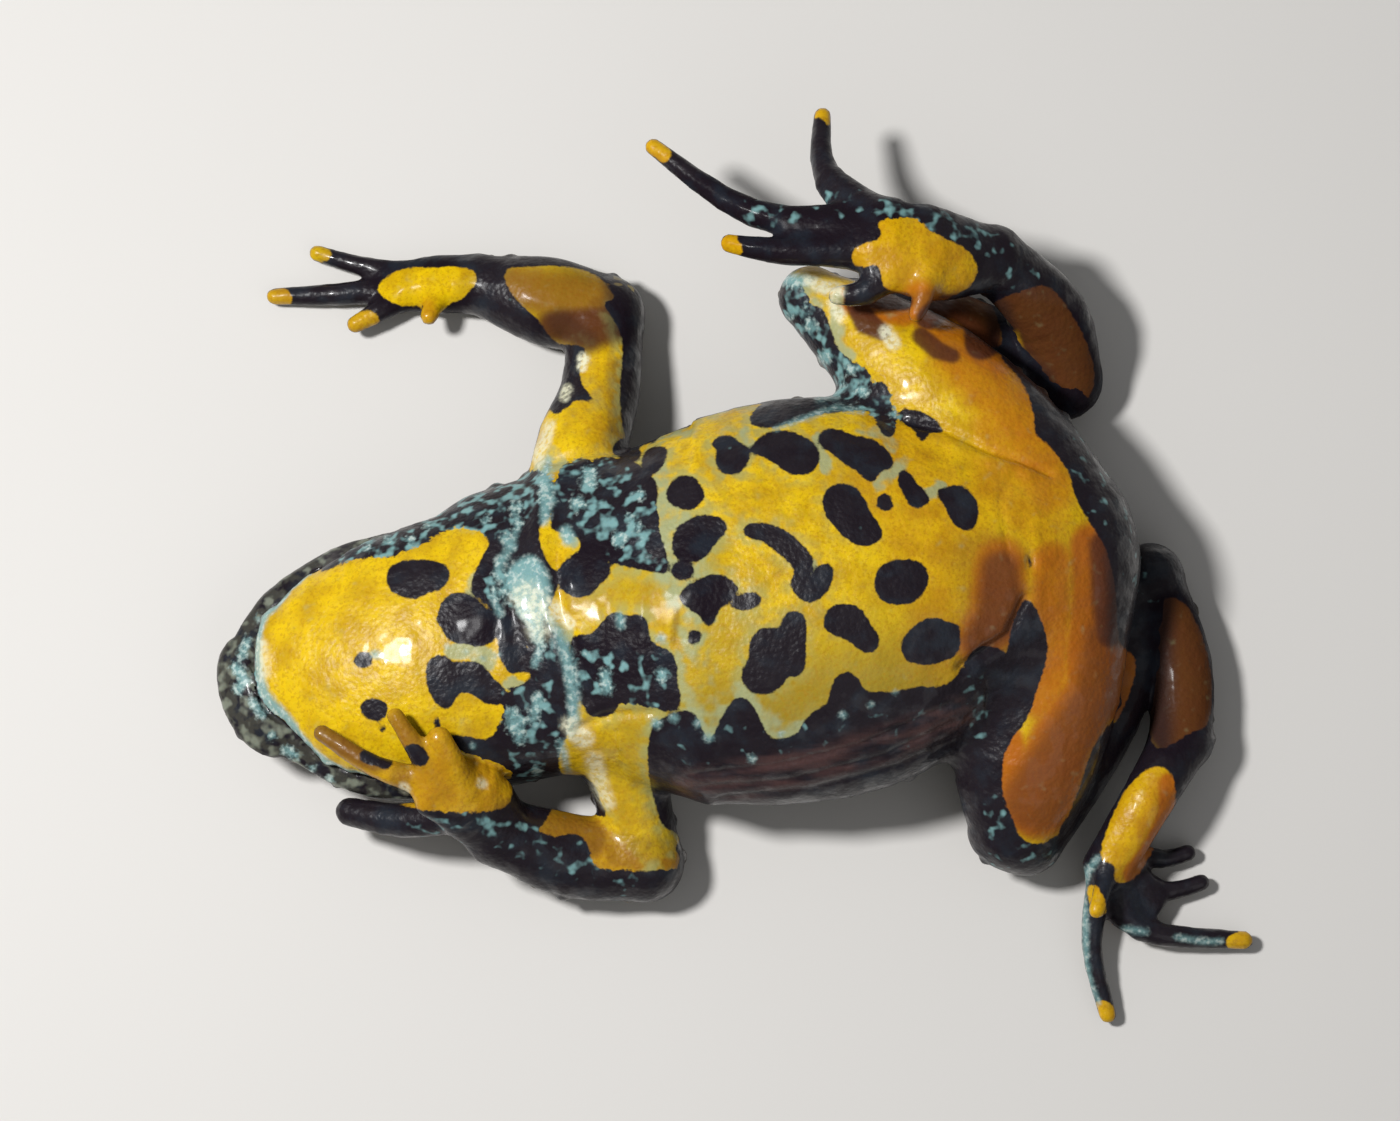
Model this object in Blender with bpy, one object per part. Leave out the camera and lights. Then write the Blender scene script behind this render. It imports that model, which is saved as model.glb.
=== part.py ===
"""Fire bellied toad, life size, a still model lying on its back.

Blender 4.5, metres, +Z up. The snout points to -X, the belly up, and the animal's
left side lies towards +Y. Sizes and places below are in millimetres and are turned
into metres where a mesh is made. Each limb is a chain of lofted lengths, parted at
its joints by a thin gap.
"""

import math

import bmesh
import bpy
from mathutils import Vector
from mathutils.bvhtree import BVHTree

MM = 0.001
GAP = 0.3
FLOOR = 0.0

# Trunk, snout to vent: place of each section's middle, its width and its depth.
TRUNK_RINGS = 17
TRUNK_SIDES = 24
TRUNK_STATIONS = (
    (-6.9, -2.05, 2.65, 8.6, 5.1),
    (-5.3, -1.75, 2.80, 8.9, 5.6),
    (-3.4, -1.55, 3.10, 9.8, 6.4),
    (-0.9, -1.55, 3.45, 11.6, 7.1),
    (2.2, -1.15, 3.55, 12.2, 7.4),
    (4.6, -0.75, 3.50, 11.4, 7.2),
    (6.6, -0.40, 3.35, 9.4, 6.8),
    (8.6, -0.15, 3.20, 7.2, 6.2),
    (10.3, 0.00, 3.05, 4.8, 4.8),
)
TRUNK_END_REACH = 1.4
NECK_PLACE = (-5.6, -1.8, 2.8)
NECK_LEAN = (1.0, 0.16, 0.0)

# Head: the skull with the upper lip is the floor side, the jaw lies on top of it.
HEAD_RINGS = 11
HEAD_SIDES = 24
HEAD_DOME_STEPS = 3
SKULL_STATIONS = (
    (-4.8, -1.8, 1.85, 8.2, 3.9),
    (-7.0, -2.2, 1.75, 8.2, 3.7),
    (-9.2, -2.85, 1.80, 8.3, 3.4),
    (-11.2, -3.12, 1.95, 7.75, 2.9),
    (-13.0, -3.45, 2.15, 6.1, 2.3),
    (-14.25, -3.9, 2.30, 3.7, 1.8),
)
SNOUT_REACH = 1.05
JAW_STATIONS = (
    (-4.8, -1.75, 3.40, 8.0, 4.3),
    (-7.0, -2.15, 3.35, 7.8, 4.1),
    (-9.2, -2.75, 3.30, 7.75, 3.9),
    (-11.2, -2.98, 3.12, 6.95, 3.3),
    (-12.75, -3.0, 2.97, 5.3, 2.5),
    (-13.65, -3.05, 2.87, 3.6, 1.8),
)
CHIN_REACH = 0.8
LIP_RADIUS = 0.24
LIP_SIDES = 8
MOUTH_RADIUS = 0.14
MOUTH_RISE = 0.34
MOUTH_FRONT_POINTS = 9

# Eyes, lids and nostrils lie square to the head's own midline.
HEAD_LEAN = (-0.976, -0.215, 0.0)
EYE_RADIUS = 1.1
EYE_MIDPOINT = (-11.0, -3.05, 1.42)
EYE_OFFSET = 2.42
EYE_LOOK_AHEAD = 0.12
EYE_LOOK_ASIDE = 0.80
EYE_LOOK_DOWN = 0.58
ORBIT_RADIUS = 1.7
ORBIT_BACK = 0.45
LID_RING = 1.24
LID_RADIUS = 0.25
LID_FORWARD = 0.76
NOSTRIL_RADIUS = 0.16
BALL_SEGMENTS = 16
BALL_RINGS = 10
LID_SEGMENTS = 20
LID_SIDES = 6
NOSTRIL_MIDPOINT = (-14.45, -3.95, 1.55)
NOSTRIL_OFFSET = 0.8

# Limb lengths: stations of each, the last one lying on the joint that follows.
LIMB_SIDES = 14
LIMB_RINGS = 8
ARMS = {
    "left": {
        "upper_arm": (
            (-4.75, 1.5, 3.3, 3.3, 3.0),
            (-4.65, 3.6, 2.7, 2.8, 2.6),
            (-4.1, 5.6, 1.8, 2.4, 2.2),
            (-4.0, 8.0, 1.2, 2.3, 2.3),
        ),
        "forearm": (
            (-4.0, 8.0, 1.2, 2.3, 2.3),
            (-5.8, 8.45, 1.15, 2.7, 2.3),
            (-7.9, 9.05, 0.85, 1.7, 1.5),
        ),
        "hand": (
            (-7.9, 9.05, 0.85, 1.7, 1.5),
            (-9.2, 9.05, 0.75, 1.8, 1.3),
            (-10.1, 9.0, 0.65, 1.4, 1.0),
        ),
    },
    "right": {
        "upper_arm": (
            (-4.4, -2.6, 3.5, 3.6, 3.2),
            (-3.9, -4.6, 2.9, 3.0, 2.7),
            (-3.2, -6.6, 2.0, 2.3, 2.3),
            (-2.75, -8.8, 1.25, 2.2, 2.4),
        ),
        "forearm": (
            (-2.75, -8.8, 1.25, 2.2, 2.4),
            (-4.9, -8.65, 1.6, 2.5, 2.2),
            (-7.1, -8.05, 2.5, 2.0, 1.7),
        ),
        "hand": (
            (-7.1, -8.05, 2.5, 2.0, 1.7),
            (-7.9, -7.25, 3.7, 2.4, 1.4),
            (-9.0, -6.85, 4.3, 2.0, 1.1),
        ),
    },
}
LEGS = {
    "left": {
        "thigh": (
            (9.6, 0.9, 3.4, 4.4, 4.2),
            (7.7, 3.3, 3.6, 4.7, 4.0),
            (5.3, 5.65, 3.6, 4.1, 3.6),
            (2.25, 8.12, 3.1, 1.95, 2.1),
        ),
        "shank": (
            (2.9, 8.0, 2.3, 1.9, 2.1),
            (6.3, 7.15, 1.4, 3.1, 2.6),
            (9.95, 5.95, 1.15, 2.3, 2.1),
        ),
        "tarsus": (
            (9.95, 5.95, 1.15, 2.3, 2.1),
            (9.5, 7.65, 2.6, 2.3, 1.9),
            (7.7, 9.1, 4.3, 1.9, 1.6),
        ),
        "foot": (
            (7.7, 9.1, 4.3, 1.9, 1.6),
            (5.9, 8.95, 5.6, 2.9, 1.3),
            (4.2, 9.25, 5.95, 2.5, 1.0),
        ),
    },
    "right": {
        "thigh": (
            (10.0, -0.4, 3.3, 3.8, 3.8),
            (9.2, -3.4, 3.25, 4.7, 3.7),
            (8.55, -6.2, 2.7, 4.2, 3.1),
            (8.3, -7.95, 2.0, 2.8, 2.4),
        ),
        "shank": (
            (8.7, -8.1, 1.5, 2.2, 2.2),
            (10.9, -4.2, 1.35, 2.6, 2.6),
            (12.5, -0.1, 1.2, 1.9, 2.1),
        ),
        "tarsus": (
            (12.5, -0.1, 1.2, 1.9, 2.1),
            (13.35, -2.8, 1.25, 2.0, 1.8),
            (13.4, -5.1, 1.35, 1.8, 1.6),
        ),
        "foot": (
            (13.4, -5.1, 1.35, 1.8, 1.6),
            (12.3, -7.0, 1.9, 1.6, 1.4),
            (11.1, -9.0, 1.35, 1.5, 1.1),
        ),
    },
}

# Digits: root inside the hand or foot, middle and tip, then the widths there.
DIGIT_SIDES = 8
DIGIT_RINGS = 5
FINGERS = {
    "left": (
        ((-8.9, 8.9, 0.9), (-9.15, 8.4, 1.2), (-9.35, 7.9, 1.5), (0.75, 0.66, 0.52)),
        ((-9.8, 8.9, 0.7), (-10.8, 8.25, 0.8), (-11.6, 7.8, 0.8), (0.80, 0.68, 0.54)),
        ((-9.7, 9.0, 0.65), (-12.2, 8.8, 0.5), (-14.1, 8.75, 0.4), (0.85, 0.68, 0.50)),
        ((-9.6, 9.3, 0.65), (-11.5, 9.7, 0.5), (-12.8, 10.1, 0.4), (0.80, 0.58, 0.50)),
    ),
    "right": (
        ((-8.2, -6.9, 4.2), (-8.5, -6.25, 4.9), (-8.8, -5.65, 5.3), (1.00, 0.85, 0.72)),
        ((-8.9, -6.8, 4.5), (-9.5, -5.9, 5.2), (-10.1, -5.0, 5.45), (0.80, 0.64, 0.50)),
        ((-8.9, -6.9, 4.3), (-10.7, -6.4, 4.7), (-12.3, -5.4, 4.7), (0.90, 0.66, 0.50)),
        ((-8.3, -7.6, 3.2), (-10.0, -7.7, 2.5), (-11.6, -7.35, 1.9), (1.15, 1.02, 0.85)),
    ),
}
TOES = {
    "left": (
        ((5.7, 8.4, 5.9), (5.55, 7.6, 6.15), (5.35, 7.0, 6.1), (0.80, 0.66, 0.50)),
        ((4.9, 8.6, 5.9), (3.9, 7.75, 5.9), (3.0, 7.6, 5.85), (0.95, 0.80, 0.56)),
        ((4.6, 9.1, 5.9), (1.6, 9.0, 5.65), (-0.2, 9.3, 5.4), (1.05, 0.84, 0.56)),
        ((4.6, 9.5, 5.85), (0.5, 10.3, 5.1), (-2.5, 12.5, 4.4), (1.30, 0.84, 0.50)),
        ((4.4, 9.9, 5.8), (2.7, 11.6, 4.7), (2.6, 13.6, 3.8), (1.20, 0.80, 0.50)),
    ),
    "right": (
        ((11.2, -8.8, 1.5), (10.95, -9.7, 1.9), (10.75, -10.35, 2.1), (0.62, 0.56, 0.50)),
        ((11.0, -8.9, 1.2), (10.66, -11.2, 0.8), (11.15, -13.3, 0.42), (0.85, 0.62, 0.50)),
        ((11.3, -9.2, 1.05), (12.15, -10.75, 0.75), (15.25, -11.05, 0.44), (0.95, 0.74, 0.56)),
        ((11.4, -8.8, 1.0), (12.8, -9.55, 0.55), (14.0, -9.3, 0.42), (0.85, 0.60, 0.50)),
        ((11.7, -8.4, 1.0), (12.8, -8.6, 0.55), (13.6, -8.4, 0.42), (0.75, 0.56, 0.50)),
    ),
}

# Colours of the parts as the belly side shows them.
THROAT_YELLOW = (0.78, 0.43, 0.02)
BELLY_YELLOW = (0.62, 0.36, 0.05)
LIMB_YELLOW = (0.68, 0.30, 0.02)
DIGIT_BLACK = (0.03, 0.025, 0.03)
EYE_GOLD = (0.45, 0.28, 0.06)
SKIN_ROUGHNESS = 0.35
EYE_ROUGHNESS = 0.12


def clear_scene():
    """Remove whatever the file holds."""
    for item in list(bpy.data.objects):
        bpy.data.objects.remove(item, do_unlink=True)


def make_collection(name):
    """Make a collection under the scene's own."""
    collection = bpy.data.collections.new(name)
    bpy.context.scene.collection.children.link(collection)
    return collection


def skin_material(name, colour, roughness=SKIN_ROUGHNESS):
    """Plain wet skin or eye surface."""
    material = bpy.data.materials.new(name)
    material.use_nodes = True
    shader = material.node_tree.nodes["Principled BSDF"]
    shader.inputs["Base Color"].default_value = (*colour, 1.0)
    shader.inputs["Roughness"].default_value = roughness
    shader.inputs["Metallic"].default_value = 0.0
    return material


def add_object(name, bm, collection, material=None):
    """Turn a bmesh in millimetres into an object in metres."""
    bmesh.ops.scale(bm, vec=(MM, MM, MM), verts=bm.verts)
    bmesh.ops.recalc_face_normals(bm, faces=bm.faces)
    mesh = bpy.data.meshes.new(name)
    bm.to_mesh(mesh)
    bm.free()
    mesh.shade_smooth()
    item = bpy.data.objects.new(name, mesh)
    collection.objects.link(item)
    if material is not None:
        mesh.materials.append(material)
    return item


def smooth_stations(stations, count):
    """Read count stations from the smooth curve through the given ones."""
    last = len(stations) - 1
    result = []
    for step in range(count):
        place = step * last / (count - 1)
        index = min(int(place), last - 1)
        t = place - index
        before = stations[max(index - 1, 0)]
        start = stations[index]
        end = stations[index + 1]
        after = stations[min(index + 2, last)]
        values = []
        for a, b, c, d in zip(before, start, end, after):
            bend = 2 * a - 5 * b + 4 * c - d
            twist = 3 * (b - c) + d - a
            values.append(b + 0.5 * t * (c - a + t * (bend + t * twist)))
        result.append(tuple(values))
    return result


def path_tangents(path):
    """Direction of travel at each station of a path."""
    middles = [Vector(station[:3]) for station in path]
    ahead = middles[1:] + middles[-1:]
    behind = middles[:1] + middles[:-1]
    return [(after - before).normalized() for after, before in zip(ahead, behind)]


def level_across(tangent):
    """Level direction square to the tangent."""
    return Vector((0, 0, 1)).cross(tangent).normalized()


def ring_points(middle, tangent, width, depth, sides):
    """Points of one oval section square to the tangent, width level."""
    across = level_across(tangent)
    upward = tangent.cross(across).normalized()
    points = []
    for side in range(sides):
        angle = 2 * math.pi * side / sides
        offset = across * (math.cos(angle) * width / 2) + upward * (math.sin(angle) * depth / 2)
        points.append(middle + offset)
    return points


def round_end(station, tangent, reach, direction, steps):
    """Shrinking sections that close an end like a dome, the pole last."""
    x, y, z, width, depth = station
    middle = Vector((x, y, z))
    sections = []
    for step in range(1, steps + 1):
        angle = 0.5 * math.pi * step / (steps + 1)
        shift = tangent * (direction * reach * math.sin(angle))
        shrink = math.cos(angle)
        sections.append((middle + shift, width * shrink, depth * shrink))
    pole = middle + tangent * (direction * reach)
    return sections, pole


def loft(stations, rings, sides, end_reach=None, grow=0.0, dome_steps=2):
    """Closed loft through oval sections with domed ends, as a bmesh in millimetres."""
    path = smooth_stations(stations, rings)
    path = [(x, y, z, width + 2 * grow, depth + 2 * grow) for x, y, z, width, depth in path]
    tangents = path_tangents(path)
    first_reach = min(path[0][3:]) / 2
    last_reach = min(path[-1][3:]) / 2 if end_reach is None else end_reach + grow
    start_dome, start_pole = round_end(path[0], tangents[0], first_reach, -1, dome_steps)
    end_dome, end_pole = round_end(path[-1], tangents[-1], last_reach, 1, dome_steps)
    sections = [(*section, tangents[0]) for section in reversed(start_dome)]
    for (x, y, z, width, depth), tangent in zip(path, tangents):
        sections.append((Vector((x, y, z)), width, depth, tangent))
    sections += [(*section, tangents[-1]) for section in end_dome]
    bm = bmesh.new()
    loops = []
    for middle, width, depth, tangent in sections:
        points = ring_points(middle, tangent, width, depth, sides)
        loops.append([bm.verts.new(point) for point in points])
    for ring, following in zip(loops, loops[1:]):
        for side in range(sides):
            other = (side + 1) % sides
            bm.faces.new((ring[side], ring[other], following[other], following[side]))
    first = bm.verts.new(start_pole)
    final = bm.verts.new(end_pole)
    for side in range(sides):
        other = (side + 1) % sides
        bm.faces.new((first, loops[0][other], loops[0][side]))
        bm.faces.new((final, loops[-1][side], loops[-1][other]))
    return bm


def cut_plane(item, place, normal):
    """Remove what lies ahead of a plane and close the cut with a flat face."""
    bm = bmesh.new()
    bm.from_mesh(item.data)
    geometry = bm.verts[:] + bm.edges[:] + bm.faces[:]
    point = Vector(place) * MM
    bmesh.ops.bisect_plane(
        bm, geom=geometry, dist=1e-7, plane_co=point, plane_no=Vector(normal), clear_outer=True
    )
    edges = [edge for edge in bm.edges if edge.is_boundary]
    bmesh.ops.holes_fill(bm, edges=edges, sides=0)
    bmesh.ops.recalc_face_normals(bm, faces=bm.faces)
    bm.to_mesh(item.data)
    bm.free()


def keep_largest(item):
    """Keep only the largest closed surface of an object, facing outwards."""
    bm = bmesh.new()
    bm.from_mesh(item.data)
    left = set(bm.faces)
    islands = []
    while left:
        stack = [left.pop()]
        island = list(stack)
        while stack:
            face = stack.pop()
            for edge in face.edges:
                for near in edge.link_faces:
                    if near in left:
                        left.remove(near)
                        stack.append(near)
                        island.append(near)
        islands.append(island)
    islands.sort(key=lambda faces: sum(face.calc_area() for face in faces))
    spare = [face for island in islands[:-1] for face in island]
    bmesh.ops.delete(bm, geom=spare, context="FACES")
    bmesh.ops.recalc_face_normals(bm, faces=bm.faces)
    bm.to_mesh(item.data)
    bm.free()


def combine(item, shapes, operation, cutters):
    """Join closed shapes to an object, or cut them from it, in one Boolean."""
    for shape in shapes:
        tool = add_object("cutter", shape, cutters)
        tool.hide_render = True
        tool.display_type = "WIRE"
    modifier = item.modifiers.new("Combine", "BOOLEAN")
    modifier.operation = operation
    modifier.solver = "EXACT"
    modifier.operand_type = "COLLECTION"
    modifier.collection = cutters
    depsgraph = bpy.context.evaluated_depsgraph_get()
    mesh = bpy.data.meshes.new_from_object(item.evaluated_get(depsgraph))
    item.modifiers.clear()
    item.data = mesh
    item.data.shade_smooth()
    for tool in list(cutters.objects):
        bpy.data.objects.remove(tool, do_unlink=True)
    keep_largest(item)


def ball(place, radius):
    """Sphere as a bmesh in millimetres."""
    bm = bmesh.new()
    bmesh.ops.create_uvsphere(bm, u_segments=BALL_SEGMENTS, v_segments=BALL_RINGS, radius=radius)
    bmesh.ops.translate(bm, verts=bm.verts, vec=Vector(place))
    return bm


def ring(place, axis, major, minor):
    """Torus as a bmesh in millimetres, its hole along axis."""
    turn = Vector(axis).to_track_quat("Z", "Y")
    bm = bmesh.new()
    loops = []
    for segment in range(LID_SEGMENTS):
        around = 2 * math.pi * segment / LID_SEGMENTS
        outward = Vector((math.cos(around), math.sin(around), 0))
        loop = []
        for side in range(LID_SIDES):
            angle = 2 * math.pi * side / LID_SIDES
            point = outward * (major + minor * math.cos(angle))
            point.z = minor * math.sin(angle)
            loop.append(bm.verts.new(Vector(place) + turn @ point))
        loops.append(loop)
    for index, loop in enumerate(loops):
        following = loops[(index + 1) % LID_SEGMENTS]
        for side in range(LID_SIDES):
            other = (side + 1) % LID_SIDES
            bm.faces.new((loop[side], following[side], following[other], loop[other]))
    return bm


def mouth_path():
    """Points of the mouth line, from the right corner round the snout to the left."""
    path = smooth_stations(SKULL_STATIONS[1:], HEAD_RINGS)
    spread = math.sqrt(1 - MOUTH_RISE ** 2)
    right = []
    left = []
    front = []
    for (x, y, z, width, depth), ahead in zip(path, path_tangents(path)):
        middle = Vector((x, y, z + depth / 2 * MOUTH_RISE))
        across = level_across(ahead) * (width / 2 * spread)
        right.append(middle + across)
        left.append(middle - across)
    for step in range(1, MOUTH_FRONT_POINTS + 1):
        angle = math.pi * step / (MOUTH_FRONT_POINTS + 1)
        reach = ahead * (SNOUT_REACH * spread * math.sin(angle))
        front.append(middle + reach + across * math.cos(angle))
    return right + front + left[::-1]


def tube(points, radius, rise=0.0):
    """Tube with closed ends along points, raised by rise, as a bmesh in millimetres."""
    stations = [(x, y, z + rise, 2 * radius, 2 * radius) for x, y, z in points]
    return loft(stations, len(stations), LIP_SIDES)


def trim_joint(before, after, place, arriving, leaving):
    """Part two lengths of a limb by a thin gap on the plane that halves their bend."""
    normal = (Vector(arriving).normalized() + Vector(leaving).normalized()).normalized()
    cut_plane(before, Vector(place) - normal * (GAP / 2), normal)
    cut_plane(after, Vector(place) + normal * (GAP / 2), -normal)


def make_torso(parts):
    """Belly, chest and back in one length, open to the head at the neck plane."""
    bm = loft(TRUNK_STATIONS, TRUNK_RINGS, TRUNK_SIDES, end_reach=TRUNK_END_REACH)
    torso = add_object("torso", bm, parts, skin_material("belly_skin", BELLY_YELLOW))
    lean = Vector(NECK_LEAN).normalized()
    cut_plane(torso, Vector(NECK_PLACE) + lean * (GAP / 2), -lean)


def beside_midline(midpoint, offset, side):
    """Place beside the head's midline, side 1 for the left and -1 for the right."""
    return Vector(midpoint) - level_across(Vector(HEAD_LEAN)) * (side * offset)


def eye_place(side):
    """Middle of an eye."""
    return beside_midline(EYE_MIDPOINT, EYE_OFFSET, side)


def look_direction(side):
    """Unit vector along which an eye looks."""
    ahead = Vector(HEAD_LEAN) * EYE_LOOK_AHEAD
    aside = level_across(Vector(HEAD_LEAN)) * (-side * EYE_LOOK_ASIDE)
    return (ahead + aside - Vector((0, 0, EYE_LOOK_DOWN))).normalized()


def make_head(parts, cutters):
    """Skull, jaw, lips, lids and nostrils in one piece."""
    skull = loft(SKULL_STATIONS, HEAD_RINGS, HEAD_SIDES, SNOUT_REACH, 0.0, HEAD_DOME_STEPS)
    head = add_object("head", skull, parts, skin_material("throat_skin", THROAT_YELLOW))
    additions = [loft(JAW_STATIONS, HEAD_RINGS, HEAD_SIDES, CHIN_REACH, 0.0, HEAD_DOME_STEPS)]
    for side in (-1, 1):
        orbit = eye_place(side) - look_direction(side) * ORBIT_BACK
        lid = eye_place(side) + look_direction(side) * LID_FORWARD
        additions.append(ball(orbit, ORBIT_RADIUS))
        additions.append(ring(lid, look_direction(side), LID_RING, LID_RADIUS))
    line = mouth_path()
    additions.append(tube(line, LIP_RADIUS, rise=-LIP_RADIUS))
    combine(head, additions, "UNION", cutters)
    cuts = [tube(line, MOUTH_RADIUS)]
    for side in (-1, 1):
        cuts.append(ball(eye_place(side), EYE_RADIUS + GAP))
        nostril = beside_midline(NOSTRIL_MIDPOINT, NOSTRIL_OFFSET, side)
        cuts.append(ball(nostril, NOSTRIL_RADIUS))
    combine(head, cuts, "DIFFERENCE", cutters)
    lean = Vector(NECK_LEAN).normalized()
    cut_plane(head, Vector(NECK_PLACE) - lean * (GAP / 2), lean)


def make_eyes(parts):
    """Two eyeballs, each resting in its socket."""
    material = skin_material("eye_surface", EYE_GOLD, EYE_ROUGHNESS)
    for side, name in ((1, "left_eye"), (-1, "right_eye")):
        add_object(name, ball(eye_place(side), EYE_RADIUS), parts, material)


def make_limb(side, lengths, parts, material):
    """Make the lengths of one limb in order, as objects that still meet."""
    made = {}
    for name, stations in lengths.items():
        bm = loft(stations, LIMB_RINGS, LIMB_SIDES)
        made[name] = add_object(f"{side}_{name}", bm, parts, material)
    return made


def trim_limb(lengths, made, names):
    """Part the named lengths of a limb, each from the next."""
    for name, following in zip(names, names[1:]):
        before = lengths[name]
        after = lengths[following]
        place = Vector(after[0][:3])
        arriving = place - Vector(before[-2][:3])
        leaving = Vector(after[1][:3]) - place
        trim_joint(made[name], made[following], place, arriving, leaving)


def clear_of(item, stations, rings, sides, cutters, end_reach=None):
    """Cut an object clear of a loft by the gap, where the two meet."""
    shape = loft(stations, rings, sides, end_reach, GAP)
    own = bmesh.new()
    own.from_mesh(item.data)
    bmesh.ops.scale(own, vec=(1 / MM, 1 / MM, 1 / MM), verts=own.verts)
    if BVHTree.FromBMesh(own).overlap(BVHTree.FromBMesh(shape)):
        combine(item, [shape], "DIFFERENCE", cutters)
    own.free()


def make_digits(side, kind, rows, palm, parts, cutters, material):
    """Make the fingers or toes of one side, each clear of its palm and of the one before."""
    before = None
    for number, (root, middle, tip, widths) in enumerate(rows, start=1):
        stations = [(*place, width, width) for place, width in zip((root, middle, tip), widths)]
        bm = loft(stations, DIGIT_RINGS, DIGIT_SIDES)
        digit = add_object(f"{side}_{kind}_{number}", bm, parts, material)
        clear_of(digit, palm, LIMB_RINGS, LIMB_SIDES, cutters)
        if before is not None:
            clear_of(digit, before, DIGIT_RINGS, DIGIT_SIDES, cutters)
        before = stations


def make_arm(side, torso_cut, parts, cutters, materials):
    """One arm with its four fingers, the hand kept clear of the throat."""
    lengths = ARMS[side]
    made = make_limb(side, lengths, parts, materials["limb"])
    trim_limb(lengths, made, ("upper_arm", "forearm", "hand"))
    torso_cut(made["upper_arm"])
    clear_of(made["hand"], JAW_STATIONS, HEAD_RINGS, HEAD_SIDES, cutters, CHIN_REACH)
    make_digits(side, "finger", FINGERS[side], lengths["hand"], parts, cutters, materials["digit"])


def make_leg(side, torso_cut, parts, cutters, materials):
    """One leg with its foot and five toes, the shank pressed to the thigh."""
    lengths = LEGS[side]
    made = make_limb(side, lengths, parts, materials["limb"])
    trim_limb(lengths, made, ("shank", "tarsus", "foot"))
    torso_cut(made["thigh"])
    clear_of(made["shank"], lengths["thigh"], LIMB_RINGS, LIMB_SIDES, cutters)
    make_digits(side, "toe", TOES[side], lengths["foot"], parts, cutters, materials["digit"])


def settle(parts):
    """Cut all parts at the floor and set the origin under the middle of the whole."""
    corners = []
    for item in parts.objects:
        lowest = min(vertex.co.z for vertex in item.data.vertices)
        if lowest < FLOOR:
            cut_plane(item, (0, 0, FLOOR), (0, 0, -1))
        corners += [vertex.co.copy() for vertex in item.data.vertices]
    middle_x = (min(point.x for point in corners) + max(point.x for point in corners)) / 2
    middle_y = (min(point.y for point in corners) + max(point.y for point in corners)) / 2
    for item in parts.objects:
        for vertex in item.data.vertices:
            vertex.co.x -= middle_x
            vertex.co.y -= middle_y


def main():
    """Build the toad."""
    clear_scene()
    parts = make_collection("fire_bellied_toad")
    cutters = make_collection("cutters")
    materials = {
        "limb": skin_material("limb_skin", LIMB_YELLOW),
        "digit": skin_material("digit_skin", DIGIT_BLACK),
    }

    def torso_cut(item):
        clear_of(item, TRUNK_STATIONS, TRUNK_RINGS, TRUNK_SIDES, cutters, TRUNK_END_REACH)

    make_torso(parts)
    make_head(parts, cutters)
    make_eyes(parts)
    for side in ("left", "right"):
        make_arm(side, torso_cut, parts, cutters, materials)
        make_leg(side, torso_cut, parts, cutters, materials)
    settle(parts)


main()
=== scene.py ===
# Fire bellied toad, life size, lying on its back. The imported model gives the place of
# every part. One skin is grown over its flesh here, marked and lit, and two eyes are set
# into it. Sizes in the dictionaries are millimetres unless a note says otherwise.
import math

import bpy
import numpy as np
import openvdb
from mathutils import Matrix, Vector


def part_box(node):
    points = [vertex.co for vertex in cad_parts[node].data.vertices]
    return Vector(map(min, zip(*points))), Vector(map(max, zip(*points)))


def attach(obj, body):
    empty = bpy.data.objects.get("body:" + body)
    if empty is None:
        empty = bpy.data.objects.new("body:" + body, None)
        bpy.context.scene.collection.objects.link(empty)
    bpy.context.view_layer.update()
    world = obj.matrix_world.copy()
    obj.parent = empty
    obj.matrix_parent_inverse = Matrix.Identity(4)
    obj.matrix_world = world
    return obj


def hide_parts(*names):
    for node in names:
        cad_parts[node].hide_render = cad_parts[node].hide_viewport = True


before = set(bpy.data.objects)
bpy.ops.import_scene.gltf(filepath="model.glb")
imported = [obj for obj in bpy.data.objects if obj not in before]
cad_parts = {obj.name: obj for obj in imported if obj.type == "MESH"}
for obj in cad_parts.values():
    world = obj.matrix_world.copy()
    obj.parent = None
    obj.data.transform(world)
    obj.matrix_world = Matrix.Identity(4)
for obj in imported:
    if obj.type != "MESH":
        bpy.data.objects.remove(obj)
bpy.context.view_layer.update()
millimetre = 0.001
up = np.array((0.0, 0.0, 1.0))

view = {
    "aim": (-1.1, 0.1, 3.0),
    "distance": 216.0,
    "tilt": math.radians(10.0),  # away from straight down
    "width": 42.0,  # what the frame takes in at the aim
    "step": 0.03,  # marks are counted in these, right and down from the frame's corner
    "corner": (700, 560.5),  # steps from that corner to the aim
}

# Places, widths and depths along each length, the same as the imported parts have.
trunk = {
    "samples": 17,
    "reach": 1.4,  # how far the rounded end goes beyond the last station
    "blend": 0.1,
    "stations": (
        (-6.9, -2.05, 2.65, 8.6, 5.1), (-5.3, -1.75, 2.80, 8.9, 5.6),
        (-3.4, -1.55, 3.10, 9.8, 6.4), (-0.9, -1.55, 3.45, 11.6, 7.1),
        (2.2, -1.15, 3.55, 12.2, 7.4), (4.6, -0.75, 3.50, 11.4, 7.2),
        (6.6, -0.40, 3.35, 9.4, 6.8), (8.6, -0.15, 3.20, 7.2, 6.2),
        (10.3, 0.00, 3.05, 4.8, 4.8),
    ),
}
skull = {
    "samples": 15,
    "reach": 1.05,
    "blend": 1.0,  # into the neck
    "stations": (
        (-4.8, -1.8, 1.85, 8.2, 3.9), (-7.0, -2.2, 1.75, 8.2, 3.7),
        (-9.2, -2.85, 1.80, 8.3, 3.4), (-11.2, -3.12, 1.95, 7.75, 2.9),
        (-13.0, -3.45, 2.15, 6.1, 2.3), (-14.25, -3.9, 2.30, 3.7, 1.8),
    ),
}
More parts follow.
